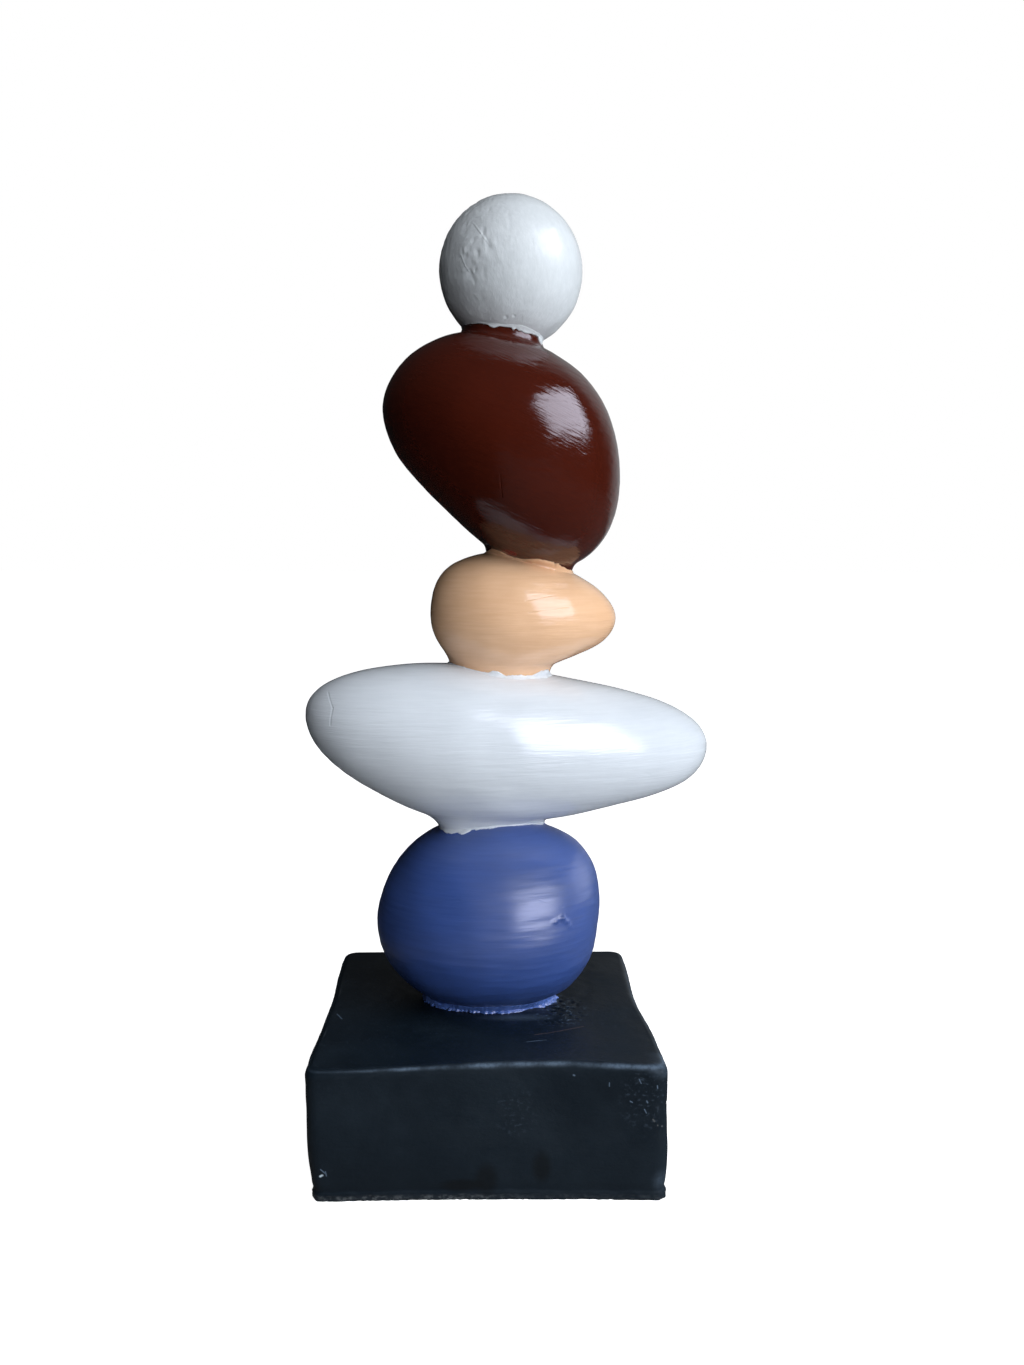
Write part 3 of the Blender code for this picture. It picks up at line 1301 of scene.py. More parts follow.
@dataclass
class Plinth:
    """The square block: four sides drawn in, soft edges, and a ragged flange.

    The bows are the faces' own, and the torn waves those of the flange's edge.
    """

    half: float = 60.0
    height: float = 46.3
    corner_radius: float = 4.0
    edge_radius: float = 3.0
    flange_height: float = 2.6
    flange_reach: float = 0.68
    columns_a_side: int = 112
    underside_rings: int = 14
    flange_rings: int = 12
    side_rings: int = 52
    edge_rings: int = 12
    top_rings: int = 96
    front: Side = Side(55.3, 20.0, 5.2, 80.0, 4.0, 38.0, 58.7, 61.0, 1.2)
    back: Side = Side(59.2, 10.0, 2.4, 55.0, 0.8, 40.0, 60.6, 59.6, 1.0)
    left: Side = Side(60.3, -1.0, 1.5, 45.0, 0.9, 40.0, 59.2, 59.8, 0.6)
    right: Side = Side(58.4, 7.0, 2.5, 46.0, 1.5, 42.0, 60.3, 59.0, 1.0)
    paint: BlockPaint = BLOCK_PAINT
    bows: tuple[Ripple, ...] = (Ripple(0.10, 26.0, 41), Ripple(0.03, 6.0, 42))
    torn: tuple[Ripple, ...] = (Ripple(0.10, 9.0, 31), Ripple(0.14, 2.0, 32))
    flange_top: Ripple = Ripple(0.14, 6.0, 33)
    least_flange: float = 0.1
    nicks: Dents = Dents(-0.34, 2.2, 0.75, 43)
    chip_depth: float = 0.5
    bulge_height: float = 0.9
    back_inset: float = 0.12

    def outline(self, inset: float) -> Array:
        """Gives a rounded square, one side after the other, in the block's half widths.

        Along a side the place goes evenly from the middle of one corner's arc to the
        next one's: an eighth of a circle, a straight run and another eighth.

        Args:
            inset: How far inside the block's full width the square lies.

        Returns:
            The points, as X and Y between -1 and 1.
        """
        half, radius = self.half - inset, self.corner_radius
        straight = half - radius
        arc = radius * math.pi / 4
        way = np.linspace(-(straight + arc), straight + arc, self.columns_a_side, endpoint=False)
        bend = np.clip(np.abs(way) - straight, 0, None) / radius
        along = np.sign(way) * (np.minimum(np.abs(way), straight) + radius * np.sin(bend))
        out = straight + radius * np.cos(bend)
        side = np.stack([along, -out], axis=1)
        sides = []
        for quarter in range(4):
            turn = quarter * math.pi / 2
            turned = np.array([[math.cos(turn), math.sin(turn)], [-math.sin(turn), math.cos(turn)]])
            sides.append(side @ turned)
        return np.concatenate(sides) / self.half

    def shaped(self, square: Array, height: Array) -> Array:
        """Draws points of a unit square in or out to the four sides at their heights."""
        x, y = square.T
        along_x, along_y = x * self.half, y * self.half
        reach_x = np.where(
            x > 0,
            self.right.reach(along_y, height, self.half, self.height),
            self.left.reach(along_y, height, self.half, self.height),
        )
        reach_y = np.where(
            y > 0,
            self.back.reach(along_x, height, self.half, self.height),
            self.front.reach(along_x, height, self.half, self.height),
        )
        return np.column_stack([x * reach_x, y * reach_y, height])

    def flange(self, square: Array, height: float) -> Array:
        """Gives how far the foot's ragged flange stands out at one height.

        It is the flange's reach less torn noise, and fades over a short shoulder.
        """
        places = np.column_stack([square * self.half, np.full(len(square), height)])
        usual = 0.10
        torn = np.maximum(usual + sum(wave.at(places) for wave in self.torn), 0.0)
        top = self.flange_height + self.flange_top.at(places * (1, 1, 0))
        fade = 1 - ease(np.full(len(square), height) - top, -0.25, 0.45)
        return np.maximum(self.flange_reach - torn, self.least_flange) * fade

    def rings(self) -> tuple[Array, Array]:
        """Stacks the block's rings: underside, flange, sides, round edge and top.

        Returns:
            The rings, and how far along the block's profile each one lies from the
            middle of the round edge, negative below it and positive on the top.
        """
        rings, ways = [], []
        square = self.outline(0.0)
        for share in np.linspace(0.06, 0.985, self.underside_rings):
            rings.append(self.shaped(square * share, np.zeros(len(square))))
            ways.append(-2 * self.half)
        side_top = self.height - self.edge_radius
        flange_rows = np.linspace(0.0, self.flange_height + 1.2, self.flange_rings)
        side_rows = np.linspace(flange_rows[-1], side_top, self.side_rings)[1:]
        for height in np.concatenate([flange_rows, side_rows]):
            ring = self.shaped(square, np.full(len(square), height))
            out = ring[:, :2] / np.abs(ring[:, :2]).max(axis=1)[:, None]
            ring[:, :2] += out * self.flange(square, height)[:, None]
            rings.append(ring)
            ways.append(height - side_top - self.edge_radius * math.pi / 4)
        for angle in np.linspace(0, math.pi / 2, self.edge_rings)[1:]:
            inset = self.edge_radius * (1 - math.cos(angle))
            square = self.outline(inset)
            rise = self.edge_radius * math.sin(angle)
            rings.append(self.shaped(square, np.full(len(square), side_top + rise)))
            ways.append(self.edge_radius * (angle - math.pi / 4))
        for share in 1 - np.linspace(0, 0.94, self.top_rings)[1:] ** 1.15:
            rings.append(self.shaped(square * share, np.full(len(square), self.height)))
            ways.append(self.edge_radius * math.pi / 4 + (1 - share) * self.half)
        return np.stack(rings), np.array(ways)

    def relief(self, points: Array) -> Array:
        """Gives the block's relief: bows, a bulge, pits and a chip.

        It goes out from the axis at the sides, and up on the top.

        Wide waves bow the faces a little, less so by the flange, and the sides bulge
        low down. At the back the bows give way to a slight inset. The pits lie in a
        patch beside the stack and in one at the front's right end.
        """
        _, y, z = points.T
        flat, front = points[:, :2], points[:, ::2]
        at_front, on_top = y < -50, z > self.height - 1
        at_back = ease(y, 50.0, 57.0)
        inset = at_back * ease(z, 20.0, 32.0)
        bows = sum(wave.at(points) for wave in self.bows) * (1 - inset) - self.back_inset * inset
        bulge = self.bulge_height * np.exp(-(((z - 15) / 11) ** 2)) * ease(z, 2.5, 6.0) * (1 - 0.4 * at_back)
        beside = bell(flat, (27.0, -9.0), (9.0, 13.0), flatness=2.0) * on_top
        corner = bell(front, (55.0, 34.0), (7.0, 11.0), flatness=2.0) * at_front
        nicks = self.nicks.at(points) * (1.5 * beside + 0.8 * corner)
        chip = bell(front, (-56.1, 9.3), (1.0, 0.9)) * at_front
        return bulge + bows * ease(z, 2.0, 9.0) + nicks - self.chip_depth * chip

    def wear_and_highlight(self, points: Array, ways: Array) -> Array:
        """Gives how much paler each point is painted: along the top's edge, at one corner and by the foot at
        the right.

        These places are rubbed paint and painted highlight where the edges catch the light. The edge's band
        is a bell of the way along the profile from the middle of the rounding, strongest at the front and to
        the right, and broken up by noise.

        Args:
            points: The block's points.
            ways: How far along the profile each one lies from the rounding's middle.

        Returns:
            How much paler it is painted, from 0 to 1.
        """
        x, y, _ = points.T
        least, usual, narrowest, middle = 0.30, 0.82, 0.42, 0.30
        waves = Ripple(0.24, 11.0, 51).at(points) + Ripple(0.06, 3.0, 52).at(points)
        strength = (y < -50) * (least + (1 - least) * ease(x, -62, 12))
        band = np.exp(-(((ways - middle) / (narrowest + 0.40 * ease(x, -50, 5))) ** 2))
        corner = 0.5 * bell(points[:, ::2], (59.0, 44.5), (3.5, 2.0)) * (y < -48)
        foot = 0.35 * bell(points[:, ::2], (58.5, 6.0), (2.5, 3.5)) * (y < -50)
        return np.clip((band * np.maximum(strength, least) + corner + foot) * (usual + waves), 0, 1)

    def surface(self) -> tuple[Array, list, Array]:
        """Gives the block's points with their relief, its faces, and how much paler each point is painted,
        for rubbed paint and painted highlight.
        """
        rings, ways = self.rings()
        points, faces = capped_grid(rings, np.zeros(3), np.array([0.0, 0.0, self.height]))
        ways = np.append(np.repeat(ways, rings.shape[1]), [-2 * self.half, self.half])
        # Paler paint along the top's front edge, at a corner and by the foot: rubbed paint and painted
        # highlight
        worn_and_lit = self.wear_and_highlight(points, ways)
        middle = np.array([0.0, 0.0, self.height / 2])
        relief = self.relief(points)
        on_top = points[:, 2] > self.height - 0.01
        underside = points[:, 2] < 0.01
        out = (points - middle) * (1, 1, 0)
        out /= np.maximum(np.abs(out).max(axis=1), LEAST_WAY)[:, None]
        out[on_top] = (0, 0, 1)
        out[underside] = 0
        relief[on_top] = np.minimum(relief[on_top], 0.0)
        return points + out * relief[:, None], faces, worn_and_lit

    def dress(self) -> bpy.types.Material:
        """Makes the matt block paint, with its rubbed paint and painted highlights, a painted reflection,
        smudges, scratches and chips.
        """
        paint = self.paint
        sheet = PaintSheet("block_matt_paint", paint.gloss)
        clouds = sheet.cloud(sheet.place, scale=38.0, detail=6.0)
        grain = sheet.cloud(sheet.place, scale=900.0, detail=3.0)
        specks = sheet.cloud(sheet.mapped((620.0, 620.0, 900.0)), scale=1.0, detail=4.0)
        colour = sheet.mixed(sheet.ranged(clouds, (0.44, 0.72)), paint.colour, paint.dusty)
        colour = self.smudges_and_painted_glint(sheet, colour)
        colour = self.worn_and_lit(sheet, colour, grain, specks)
        colour = self.marked(sheet, colour)
        sheet.join(colour, sheet.shader.inputs["Base Color"])
        rough = sheet.ranged(clouds, (0.35, 0.7), paint.roughness_span)
        sheet.join(rough, sheet.shader.inputs["Roughness"])
        dabs = sheet.cloud(sheet.mapped((140.0, 140.0, 420.0)), scale=1.0, detail=4.0)
        for height, depth in ((grain, 0.05), (specks, 0.06), (dabs, 0.12)):
            sheet.bump(height, depth)
        return sheet.material

    @property
    def front_y(self) -> float:
        """Where the front stands near its middle, along Y."""
        return -(self.front.middle + 2.7)

    def smudges_and_painted_glint(self, sheet: PaintSheet, colour: Socket) -> Socket:
        """Adds the dark smudges low on the front, and a pale patch before the foot that is a painted
        reflection.
        """
        smudges = (
            ((-0.5, self.front_y, 7.0), (5.0, 9.0, 7.0)),
            ((-9.0, self.front_y, 5.0), (9.0, 9.0, 3.0)),
            ((18.2, self.front_y, 11.3), (4.2, 9.0, 7.0)),
        )
        for middle, sizes in smudges:
            smudge = sheet.ranged(sheet.spot(middle, sizes), (0.05, 0.5), (0.0, 0.55))
            colour = sheet.mixed(smudge, colour, self.paint.dark)
        # Painted reflection: a pale patch on the top just before the foot
        painted_glint = sheet.spot((11.0, -15.5, self.height), (16.0, 4.0, 4.0))
        return sheet.mixed(sheet.ranged(painted_glint, (0.0, 0.8), (0.0, 0.45)), colour, self.paint.worn_and_lit)

    def worn_and_lit(self, sheet: PaintSheet, colour: Socket, grain: Socket, specks: Socket) -> Socket:
        """Adds the paler top edge, which is rubbed paint and painted highlight, the gritty patches and the
        chalky rim of the flange.

        Args:
            sheet: The paint's nodes.
            colour: The colour so far.
            grain: Fine noise.
            specks: Noise for specks.

        Returns:
            The colour.
        """
        paint = self.paint
        # The paler edge band: rubbed paint and painted highlight, mixed into the colour
        wear_and_highlight = sheet.nodes.new("ShaderNodeAttribute")
        wear_and_highlight.attribute_name = "wear_and_highlight"
        grainy = sheet.ranged(grain, (0.34, 0.60), (0.65, 1.15))
        scuffs_and_highlight = sheet.maths("MULTIPLY", wear_and_highlight.outputs["Fac"], grainy)
        colour = sheet.mixed(sheet.ranged(scuffs_and_highlight, (0.02, 1.0)), colour, paint.worn_and_lit)
        gritty = sheet.ranged(specks, (0.56, 0.68))
        patches = (
            ((27.0, -9.0, self.height), (13.0, 20.0, 6.0), 0.85),
            ((53.0, self.front_y, 35.0), (10.0, 9.0, 14.0), 0.30),
            ((9.0, self.front_y, 30.0), (9.0, 9.0, 12.0), 0.16),
        )
        for middle, sizes, strength in patches:
            patch = sheet.ranged(sheet.spot(middle, sizes), (0.0, 0.55), (0.0, strength))
            colour = sheet.mixed(sheet.maths("MULTIPLY", patch, gritty), colour, paint.worn_and_lit)
        x, _, z = sheet.parts()
        rim = sheet.ranged(z, (1.3 * MM, 2.3 * MM), FALLING)
        to_left = sheet.ranged(x, (-8.0 * MM, 14.0 * MM), (1.0, 0.25))
        chalk = sheet.maths("MULTIPLY", sheet.ranged(specks, (0.46, 0.66), (0.10, 1.0)), to_left)
        return sheet.mixed(sheet.maths("MULTIPLY", rim, chalk), colour, paint.chalky)

    def marked(self, sheet: PaintSheet, colour: Socket) -> Socket:
        """Adds the marks of the front, which end behind it, and those of the top."""
        edge = (0.25, 1.0)
        _, y, _ = sheet.parts()
        at_front = sheet.ranged(y, (-53.0 * MM, -52.0 * MM), FALLING)
        for mark in FRONT_MARKS:
            ends = [(x, self.front_y, z) for x, z in (mark.start, mark.end)]
            line = sheet.ranged(sheet.line(*ends, mark.width, flat=True), edge, FALLING)
            colour = sheet.mixed(sheet.maths("MULTIPLY", line, at_front), colour, mark.shade)
        for mark in TOP_MARKS:
            ends = [(*place, self.height) for place in (mark.start, mark.end)]
            line = sheet.ranged(sheet.line(*ends, mark.width), edge, FALLING)
            colour = sheet.mixed(line, colour, mark.shade)
        return colour

    def build(self) -> Piece:
        """Makes the block, dresses it and puts it in the place of its solid."""
        points, faces, worn_and_lit = self.surface()
        piece = new_piece("plinth_painted", points, faces)
        # Stores the paler paint of the edges: rubbed paint and painted highlight
        layer = piece.data.attributes.new("wear_and_highlight", "FLOAT", "POINT")
        layer.data.foreach_set("value", worn_and_lit.astype(np.float32))
        piece.data.materials.append(self.dress())
        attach(piece, "root")
        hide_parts("plinth")
        return piece


# Necks: ovals, the height at which each one ends out of sight, and its fillet
FOOT = Oval(1.3, 24.3, 13.4)
BLUE_JOINT = Oval(2.3, 19.3, 10.4, turn=18.0)
BLUE_CROWN = Oval(2.3, 18.9, 10.0, turn=18.0)
WHITE_JOINT = Oval(5.3, 18.8, 13.5, turn=10.0)
PEACH_JOINT = Oval(16.0, 15.8, 10.0)
COLLAR = Oval(5.9, 14.5, 14.5)


def stones() -> tuple[PaintedStone, ...]:
    """Gives the five stones, from the lowest to the ball."""
    blue = PaintedStone(
        "blue_stone",
        "blue_paint",
        BLUE,
        BLUE_PAINT,
        necks=(Neck(FOOT, 40.0, 3.0), Neck(BLUE_CROWN, 119.0, 7.0, upper=True)),
        floor=BLOCK_TOP.height - SINK,
        swells=(
            Swell((8.0, -2.0, 117.0), 16.0, 1.6),
            Swell((1.7, 2.0, 44.0), 22.0, -3.5),
        ),
        ripples=(Ripple(0.10, 16.0, 1), Ripple(0.03, 2.6, 2, (7.0, 7.0, 1.0))),
        ridges=(
            Ridge((24.6, -26.8, 86.0), (27.6, -25.3, 87.0), 0.9, 0.45),
            Ridge((27.6, -25.3, 87.0), (30.6, -23.3, 83.6), 0.9, 0.45),
        ),
        scratches=(
            Scratch((-24.0, -22.5, 92.0), (-10.0, -28.5, 95.0), 0.6, 0.05),
            Scratch((19.0, -27.3, 94.5), (27.0, -24.4, 91.0), 0.5, 0.05),
        ),
    )
    long_white = PaintedStone(
        "long_white_stone",
        "white_paint",
        LONG_WHITE,
        WHITE_PAINT,
        necks=(Neck(BLUE_JOINT, 108.0, 11.0),),
        swells=(Swell((-14.0, 4.0, 117.0), 13.0, 1.3), Swell((47.0, 4.0, 122.0), 14.0, 0.7)),
        beds=(BLUE,),
        ripples=(Ripple(0.07, 20.0, 3), Ripple(0.025, 2.8, 4, (8.0, 8.0, 1.0))),
        scratches=(
            Scratch((-56.9, -17.9, 168.7), (-54.7, -22.9, 163.5), 0.5, 0.12),
            Scratch((-54.7, -22.9, 163.5), (-55.6, -23.7, 157.5), 0.5, 0.12),
            Scratch((52.0, -11.5, 138.5), (61.0, -8.1, 136.4), 0.7, 0.05),
        ),
    )
    peach = PaintedStone(
        "peach_stone",
        "peach_paint",
        PEACH,
        PEACH_PAINT,
        necks=(Neck(WHITE_JOINT, 168.0, 5.0),),
        beds=(LONG_WHITE,),
        ripples=(Ripple(0.07, 14.0, 5), Ripple(0.018, 2.4, 6, (8.0, 8.0, 1.0))),
        scratches=(
            Scratch((13.9, -19.2, 201.3), (24.9, -15.3, 203.4), 0.4, 0.12),
            Scratch((15.0, -19.7, 197.1), (29.7, -14.8, 198.7), 0.4, 0.12),
        ),
    )
    brown = ChippedBrown(
        "brown_stone",
        "brown_paint",
        BROWN,
        BROWN_PAINT,
        necks=(Neck(PEACH_JOINT, 208.0, 6.0), Neck(COLLAR, 302.5, 5.0, upper=True)),
        beds=(PEACH, BALL),
        swells=(Swell((29.0, 0.0, 221.0), 8.0, 1.0),),
        ripples=(Ripple(0.09, 18.0, 7), Ripple(0.018, 2.2, 8, (6.0, 3.0, 1.0))),
        scratches=(Scratch((4.3, -35.0, 244.4), (5.1, -31.5, 237.2), 0.4, 0.16),),
    )
    ball = DentedBall(
        "white_ball",
        "ball_paint",
        BALL,
        BALL_PAINT,
        ripples=(Ripple(0.05, 9.0, 9),),
        pits=(
            Pit(6.8, -14.0, 300.8, 0.55, 0.35),
            Pit(9.6, -14.5, 301.1, 0.45, 0.35),
            Pit(6.1, -12.9, 299.9, 0.40, 0.25),
        ),
        scratches=(
            Scratch((-4.9, -15.0, 332.7), (-2.0, -18.9, 328.0), 0.5, -0.12),
            Scratch((-2.0, -18.9, 328.0), (0.7, -20.9, 323.6), 0.5, -0.12),
            Scratch((-9.0, -15.3, 321.5), (-7.6, -16.4, 317.5), 0.5, -0.14),
            Scratch((-7.6, -16.4, 317.5), (-5.1, -17.3, 313.9), 0.5, -0.14),
        ),
    )
    return blue, long_white, peach, brown, ball


def lips(stack: tuple[PaintedStone, ...]) -> tuple[PaintLip, ...]:
    """Gives the ragged paint lips, from the foot to the collar.

    Args:
        stack: The five stones, from the lowest to the ball.

    Returns:
        The five lips.
    """
    blue, long_white, peach, brown, ball = stack
    return (
        PaintLip(
            "blue_foot_skirt",
            "blue_paint",
            # The skirt wears the lighter blue, painted light for the light that it catches.
            BLUE_SKIRT_LIT_PAINT,
            blue,
            BLOCK_TOP,
            FOOT.x,
            climb=2.9,
            spread=1.9,
            climb_rag=0.25,
            spread_rag=0.85,
            wall_edge=0.10,
            stone_edge=0.55,
            seed=101,
            climb_tongues=(Tongue(-20.0, 10.0, -1.2), Tongue(7.0, 11.0, 0.8)),
            spread_tongues=(Tongue(8.0, 9.0, 0.4), Tongue(-20.0, 8.0, -0.6)),
            fullness=0.6,
        ),
        PaintLip(
            "white_lip",
            "white_paint",
            WHITE_PAINT,
            long_white,
            blue,
            BLUE_JOINT.x,
            climb=0.45,
            spread=0.25,
            climb_rag=0.2,
            spread_rag=0.3,
            wall_edge=0.06,
            stone_edge=0.34,
            seed=111,
            spread_tongues=(Tongue(-8.0, 2.0, 1.3), Tongue(-5.0, 0.8, -0.5), Tongue(-12.5, 2.4, 0.5)),
        ),
        PaintLip(
            "white_upper_lip",
            "white_paint",
            WHITE_PAINT,
            peach,
            long_white,
            WHITE_JOINT.x,
            climb=0.5,
            spread=0.9,
            climb_rag=0.25,
            spread_rag=0.3,
            wall_edge=0.50,
            stone_edge=0.12,
            seed=121,
            climb_tongues=(
                Tongue(3.6, 2.4, 1.1),
                Tongue(21.0, 3.4, 1.9),
                Tongue(12.0, 4.0, 0.3),
                Tongue(-7.0, 7.0, -0.45),
            ),
            spread_tongues=(Tongue(12.0, 12.0, 0.6),),
        ),
        PaintLip(
            "peach_lip",
            "peach_paint",
            PEACH_PAINT,
            brown,
            peach,
            PEACH_JOINT.x,
            climb=0.6,
            spread=0.9,
            climb_rag=0.25,
            spread_rag=0.2,
            wall_edge=0.45,
            stone_edge=0.06,
            seed=131,
            climb_tongues=(Tongue(4.2, 3.4, 1.3), Tongue(10.0, 1.6, -0.3), Tongue(22.0, 8.0, 1.1)),
        ),
        PaintLip(
            "ball_lip",
            "ball_paint",
            BALL_PAINT,
            brown,
            ball,
            COLLAR.x,
            climb=0.3,
            spread=0.6,
            climb_rag=0.3,
            spread_rag=0.2,
            wall_edge=0.42,
            stone_edge=0.05,
            seed=141,
            climb_tongues=(
                Tongue(-6.5, 6.0, -0.3),
                Tongue(2.2, 1.9, 0.5),
                Tongue(6.5, 1.4, -0.3),
                Tongue(9.4, 0.6, 0.7),
                Tongue(14.0, 4.0, 0.15),
                Tongue(19.4, 0.7, 2.2),
            ),
            spread_tongues=(Tongue(-6.5, 6.0, -0.55), Tongue(13.5, 5.0, 1.1)),
            under=True,
            least=0.05,
        ),
    )


class LampUse(Enum):
    """What a light does to the stones."""

    SOFT = "lights them without showing in their gloss"
    GLEAM = "shows in their gloss alone"


@dataclass(frozen=True)
class Lamp:
    """A flat light that faces the stack.

    size is its width and height in metres, way its distance, turn its direction in
    degrees to the right of the camera's side, and rise its height in degrees. glow is
    how bright its face is, and reaches names the only nodes that it lights.
    """

    name: str
    size: Pair
    way: float
    turn: float
    rise: float
    glow: float
    use: LampUse
    colour: Triple = (0.94, 0.97, 1.0)
    reaches: tuple[str, ...] = ()

    def hang(self, aim: Triple, pieces: list[Piece]) -> None:
        """Puts the light in its place, facing the aim.

        Its power is its glow times pi times its area.

        Args:
            aim: The place that it faces, in metres.
            pieces: The object's pieces.
        """
        turn, rise = math.radians(self.turn), math.radians(self.rise)
        way = Vector((math.sin(turn) * math.cos(rise), -math.cos(turn) * math.cos(rise), math.sin(rise)))
        data = bpy.data.lights.new(self.name, "AREA")
        data.shape = "RECTANGLE"
        data.size, data.size_y = self.size
        data.energy = self.glow * math.pi * data.size * data.size_y
        data.color = self.colour
        light = bpy.data.objects.new(self.name, data)
        light.location = Vector(aim) + way * self.way
        light.rotation_euler = way.to_track_quat("Z", "Y").to_euler()
        light.visible_glossy = self.use is LampUse.GLEAM
        light.visible_diffuse = self.use is LampUse.SOFT
        bpy.context.scene.collection.objects.link(light)
        if self.reaches:
            lit = bpy.data.collections.new(f"{self.name}_reaches")
            for piece in pieces:
                if piece.name in self.reaches:
                    lit.objects.link(piece)
            light.light_linking.receiver_collection = lit


WHITE = (1.0, 1.0, 1.0)
SKY = (0.82, 0.84, 1.0)
UPPER_STONES = ("brown_stone_painted", "white_ball_painted", "ball_lip")
MIDDLE_STONES = (
    "long_white_stone_painted",
    "peach_stone_painted",
    "white_lip",
    "white_upper_lip",
    "peach_lip",
)
LOWEST_STONE = ("blue_stone_painted", "blue_foot_skirt")
WINDOW = Lamp("window", (1.25, 1.10), 1.2, 57.0, 18.5, 3.3, LampUse.SOFT, (0.91, 0.96, 1.0))
HIGH_PANES = Lamp("high_panes", (0.92, 0.62), 1.2, 70.0, 36.0, 10.5, LampUse.GLEAM, SKY, UPPER_STONES)
WIDE_PANES = Lamp("wide_panes", (1.26, 1.95), 2.0, 45.0, 15.0, 4.6, LampUse.GLEAM, SKY, MIDDLE_STONES)
LOW_PANES = Lamp("low_panes", (1.20, 1.25), 2.0, 39.5, 8.5, 7.0, LampUse.GLEAM, SKY, LOWEST_STONE)
SIDE_WALL = Lamp("side_wall", (0.8, 0.9), 1.2, 106.0, 8.0, 1.6, LampUse.GLEAM, reaches=LOWEST_STONE)
FRONT_FILL = Lamp("front_fill", (1.0, 0.34), 1.0, 22.0, 2.0, 2.3, LampUse.SOFT)
CEILING = Lamp("ceiling", (1.3, 1.3), 1.3, 22.0, 52.0, 1.7, LampUse.SOFT)


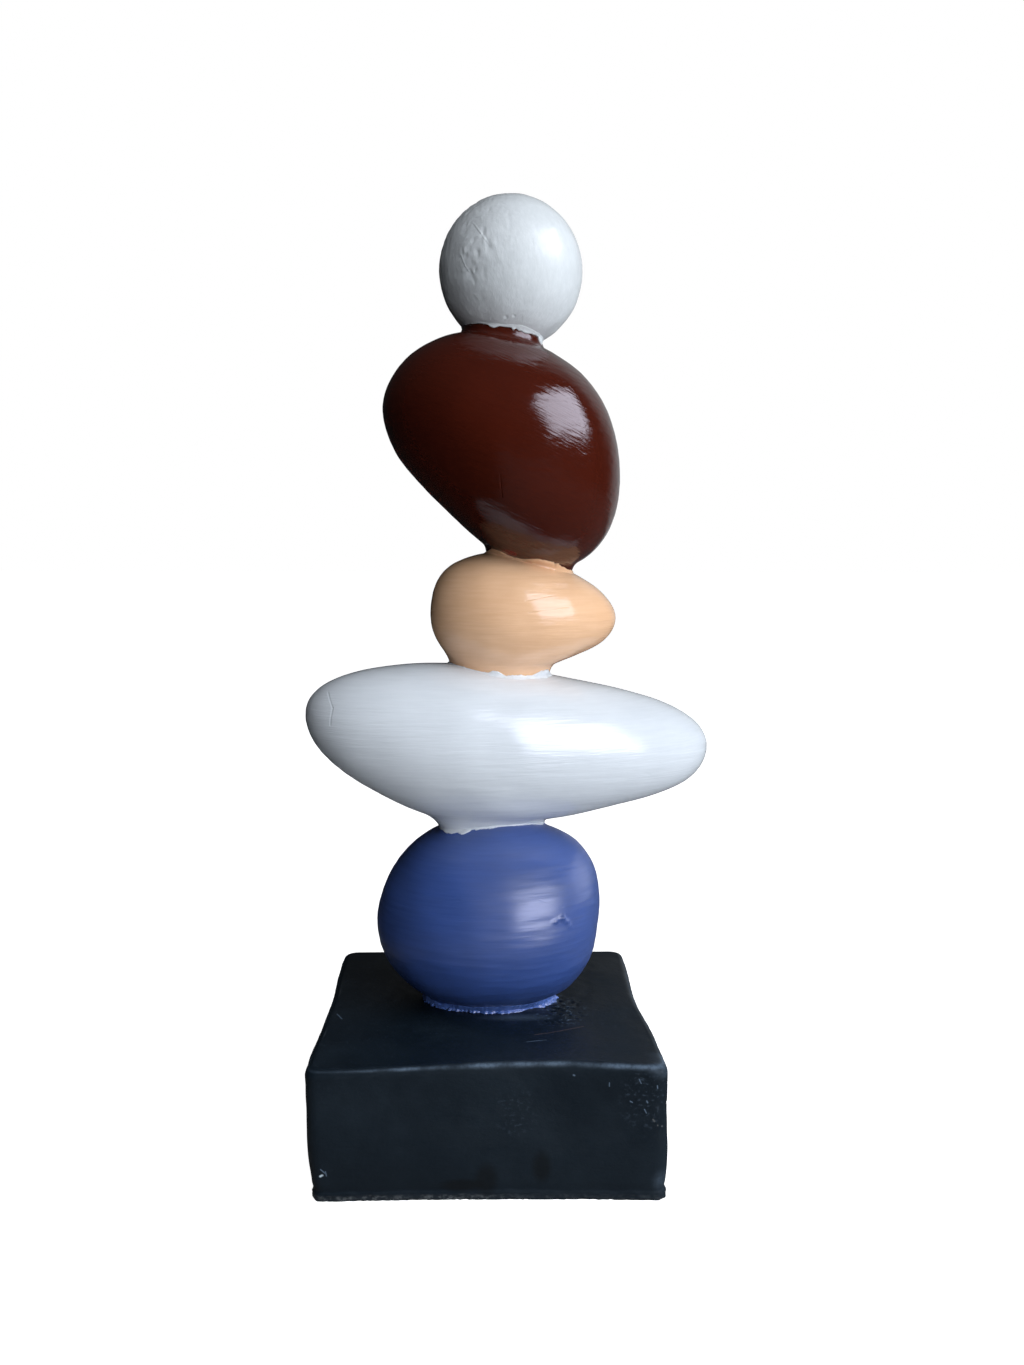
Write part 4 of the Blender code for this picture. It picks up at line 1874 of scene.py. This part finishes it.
@dataclass(frozen=True)
class Studio:
    """The pale floor, the soft room, its lights and the camera.

    The camera's place is in metres, its angles are in radians, and its focal length
    is in the photograph's pixels.
    """

    picture_height: float = 1365.0
    focal: float = 1158.0
    place: Triple = (-0.0042, -0.4321, 0.2143)
    yaw: float = 0.0320
    pitch: float = 0.1017
    roll: float = -0.0022
    lamps: tuple[Lamp, ...] = (
        WINDOW,
        HIGH_PANES,
        WIDE_PANES,
        LOW_PANES,
        SIDE_WALL,
        FRONT_FILL,
        CEILING,
    )
    aim: Triple = (0.0, 0.0, 0.2)
    floor_box: Quad = (-30.0, 30.0, -30.0, 30.0)
    floor_glow: Pair = (0.93, 1.0)
    floor_glow_span: Pair = (0.15, 0.7)
    floor_roughness: float = 0.9
    table_box: Quad = (-0.16, 2.0, -1.2, 1.2)
    table_grey: float = 0.66
    table_image_grey: float = 0.28
    table_gloss: float = 0.3
    room_glow: Pair = (0.010, 0.035)
    room_colour: Triple = (0.93, 0.97, 1.0)
    wall_glow: float = 0.40
    wall_slope: float = 0.577

    def camera(self) -> None:
        """Sets the camera with its three angles: right, down and forward as columns."""
        forward = np.array(
            [
                math.sin(self.yaw) * math.cos(self.pitch),
                math.cos(self.yaw) * math.cos(self.pitch),
                -math.sin(self.pitch),
            ]
        )
        right = np.array([math.cos(self.yaw), -math.sin(self.yaw), 0.0])
        down = np.cross(forward, right)
        rolled = math.cos(self.roll) * right + math.sin(self.roll) * down
        lower = math.cos(self.roll) * down - math.sin(self.roll) * right
        turn = Matrix(np.column_stack([rolled, -lower, -forward]).tolist()).to_4x4()
        data = bpy.data.cameras.new("camera")
        data.sensor_width = 36.0
        data.lens = self.focal / self.picture_height * data.sensor_width
        data.dof.use_dof = False
        camera = bpy.data.objects.new("camera", data)
        camera.matrix_world = Matrix.Translation(self.place) @ turn
        bpy.context.scene.collection.objects.link(camera)
        bpy.context.scene.camera = camera

    def room(self) -> None:
        """Gives a white background, and a dim room with a pale wall behind to the right.

        The wall shows in directions more than 30 degrees behind the side, to the right.
        Its strength is the product of how far behind and how far to the right they
        point, and a little light from above is added.
        """
        world = bpy.data.worlds.new("room")
        bpy.context.scene.world = world
        world.use_nodes = True
        world.node_tree.nodes.clear()
        sheet = NodeSheet(world.node_tree, "Generated")
        right, back, up = sheet.parts()
        upward = sheet.ranged(up, (0.1, 1.0), self.room_glow)
        past = sheet.maths("SUBTRACT", back, sheet.ranged(right, WHOLE, (0.0, self.wall_slope)))
        to_right = sheet.ranged(right, (0.0, 0.3), (0.0, self.wall_glow))
        wall = sheet.maths("MULTIPLY", sheet.ranged(past, (0.0, 0.3)), to_right)
        soft = sheet.nodes.new("ShaderNodeBackground")
        soft.inputs["Color"].default_value = (*self.room_colour, 1.0)
        sheet.join(sheet.maths("ADD", upward, wall), soft.inputs["Strength"])
        white = sheet.nodes.new("ShaderNodeBackground")
        white.inputs["Color"].default_value = (*WHITE, 1.0)
        seen = sheet.nodes.new("ShaderNodeLightPath")
        either = sheet.nodes.new("ShaderNodeMixShader")
        output = sheet.nodes.new("ShaderNodeOutputWorld")
        sheet.join(seen.outputs["Is Camera Ray"], either.inputs[0])
        sheet.join(soft.outputs[0], either.inputs[1])
        sheet.join(white.outputs[0], either.inputs[2])
        sheet.join(either.outputs[0], output.inputs["Surface"])

    def floor(self, name: str, box: Quad, height: float) -> Piece:
        """Lays a plain, pale floor.

        Args:
            name: Name of the floor.
            box: Its lowest and highest X and Y, in metres.
            height: Its height, in metres.

        Returns:
            The floor, which isn't part of the object.
        """
        low_x, high_x, low_y, high_y = box
        corners = ((low_x, low_y), (high_x, low_y), (high_x, high_y), (low_x, high_y))
        mesh = bpy.data.meshes.new(name)
        mesh.from_pydata([(x, y, height) for x, y in corners], [], [(0, 1, 2, 3)])
        floor = bpy.data.objects.new(name, mesh)
        bpy.context.scene.collection.objects.link(floor)
        return floor

    def floors(self) -> None:
        """Lays a white floor that only the camera sees, and two grey ones under it.

        The white one's own glow rises with the distance from the object, so that it
        meets the background without a line. The grey ones are a table's top, the one
        for the light that it sends back and a darker one for its image in the gloss.
        They end a little to the left of the stack, where the room is dark.
        """
        seen = self.floor("floor", self.floor_box, 0.0)
        seen.visible_diffuse = False
        seen.visible_glossy = False
        seen.visible_shadow = False
        white = PaintSheet("floor_paint", 1.0, (0.9, 0.9, 0.9), self.floor_roughness)
        white.shader.inputs["Emission Color"].default_value = (*WHITE, 1.0)
        away = white.nodes.new("ShaderNodeVectorMath")
        away.operation = "LENGTH"
        white.join(white.place, away.inputs[0])
        glow = white.ranged(away.outputs["Value"], self.floor_glow_span, self.floor_glow)
        white.join(glow, white.shader.inputs["Emission Strength"])
        seen.data.materials.append(white.material)
        bounce = self.table("table_bounce", self.table_grey, -0.2 * MM)
        bounce.visible_glossy = False
        image = self.table("table_image", self.table_image_grey, -0.4 * MM)
        image.visible_diffuse = False

    def table(self, name: str, grey: float, height: float) -> Piece:
        """Lays a grey table's top that the camera doesn't see.

        Args:
            name: Name of the top.
            grey: How much of the light it sends back.
            height: Its height, in metres.

        Returns:
            The table's top.
        """
        top = self.floor(name, self.table_box, height)
        top.visible_camera = False
        top.visible_shadow = False
        sheet = PaintSheet(f"{name}_paint", self.table_gloss, (grey, grey, grey), self.floor_roughness)
        top.data.materials.append(sheet.material)
        return top

    def build(self, pieces: list[Piece]) -> None:
        """Sets up the camera, the light, the room and the floor.

        Args:
            pieces: The object's pieces.
        """
        self.camera()
        for lamp in self.lamps:
            lamp.hang(self.aim, pieces)
        self.room()
        self.floors()
        bpy.context.scene.view_settings.view_transform = "Standard"


def main() -> None:
    """Builds the block, the stones and the lips."""
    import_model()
    pieces = [Plinth().build()]
    stack = stones()
    pieces += [stone.build() for stone in stack]
    pieces += [lip.build() for lip in lips(stack)]
    Studio().build(pieces)
    for piece in pieces:
        LOG.info("%s has %d faces", piece.name, len(piece.data.polygons))


if __name__ == "__main__":
    logging.basicConfig(level=logging.INFO)
    main()
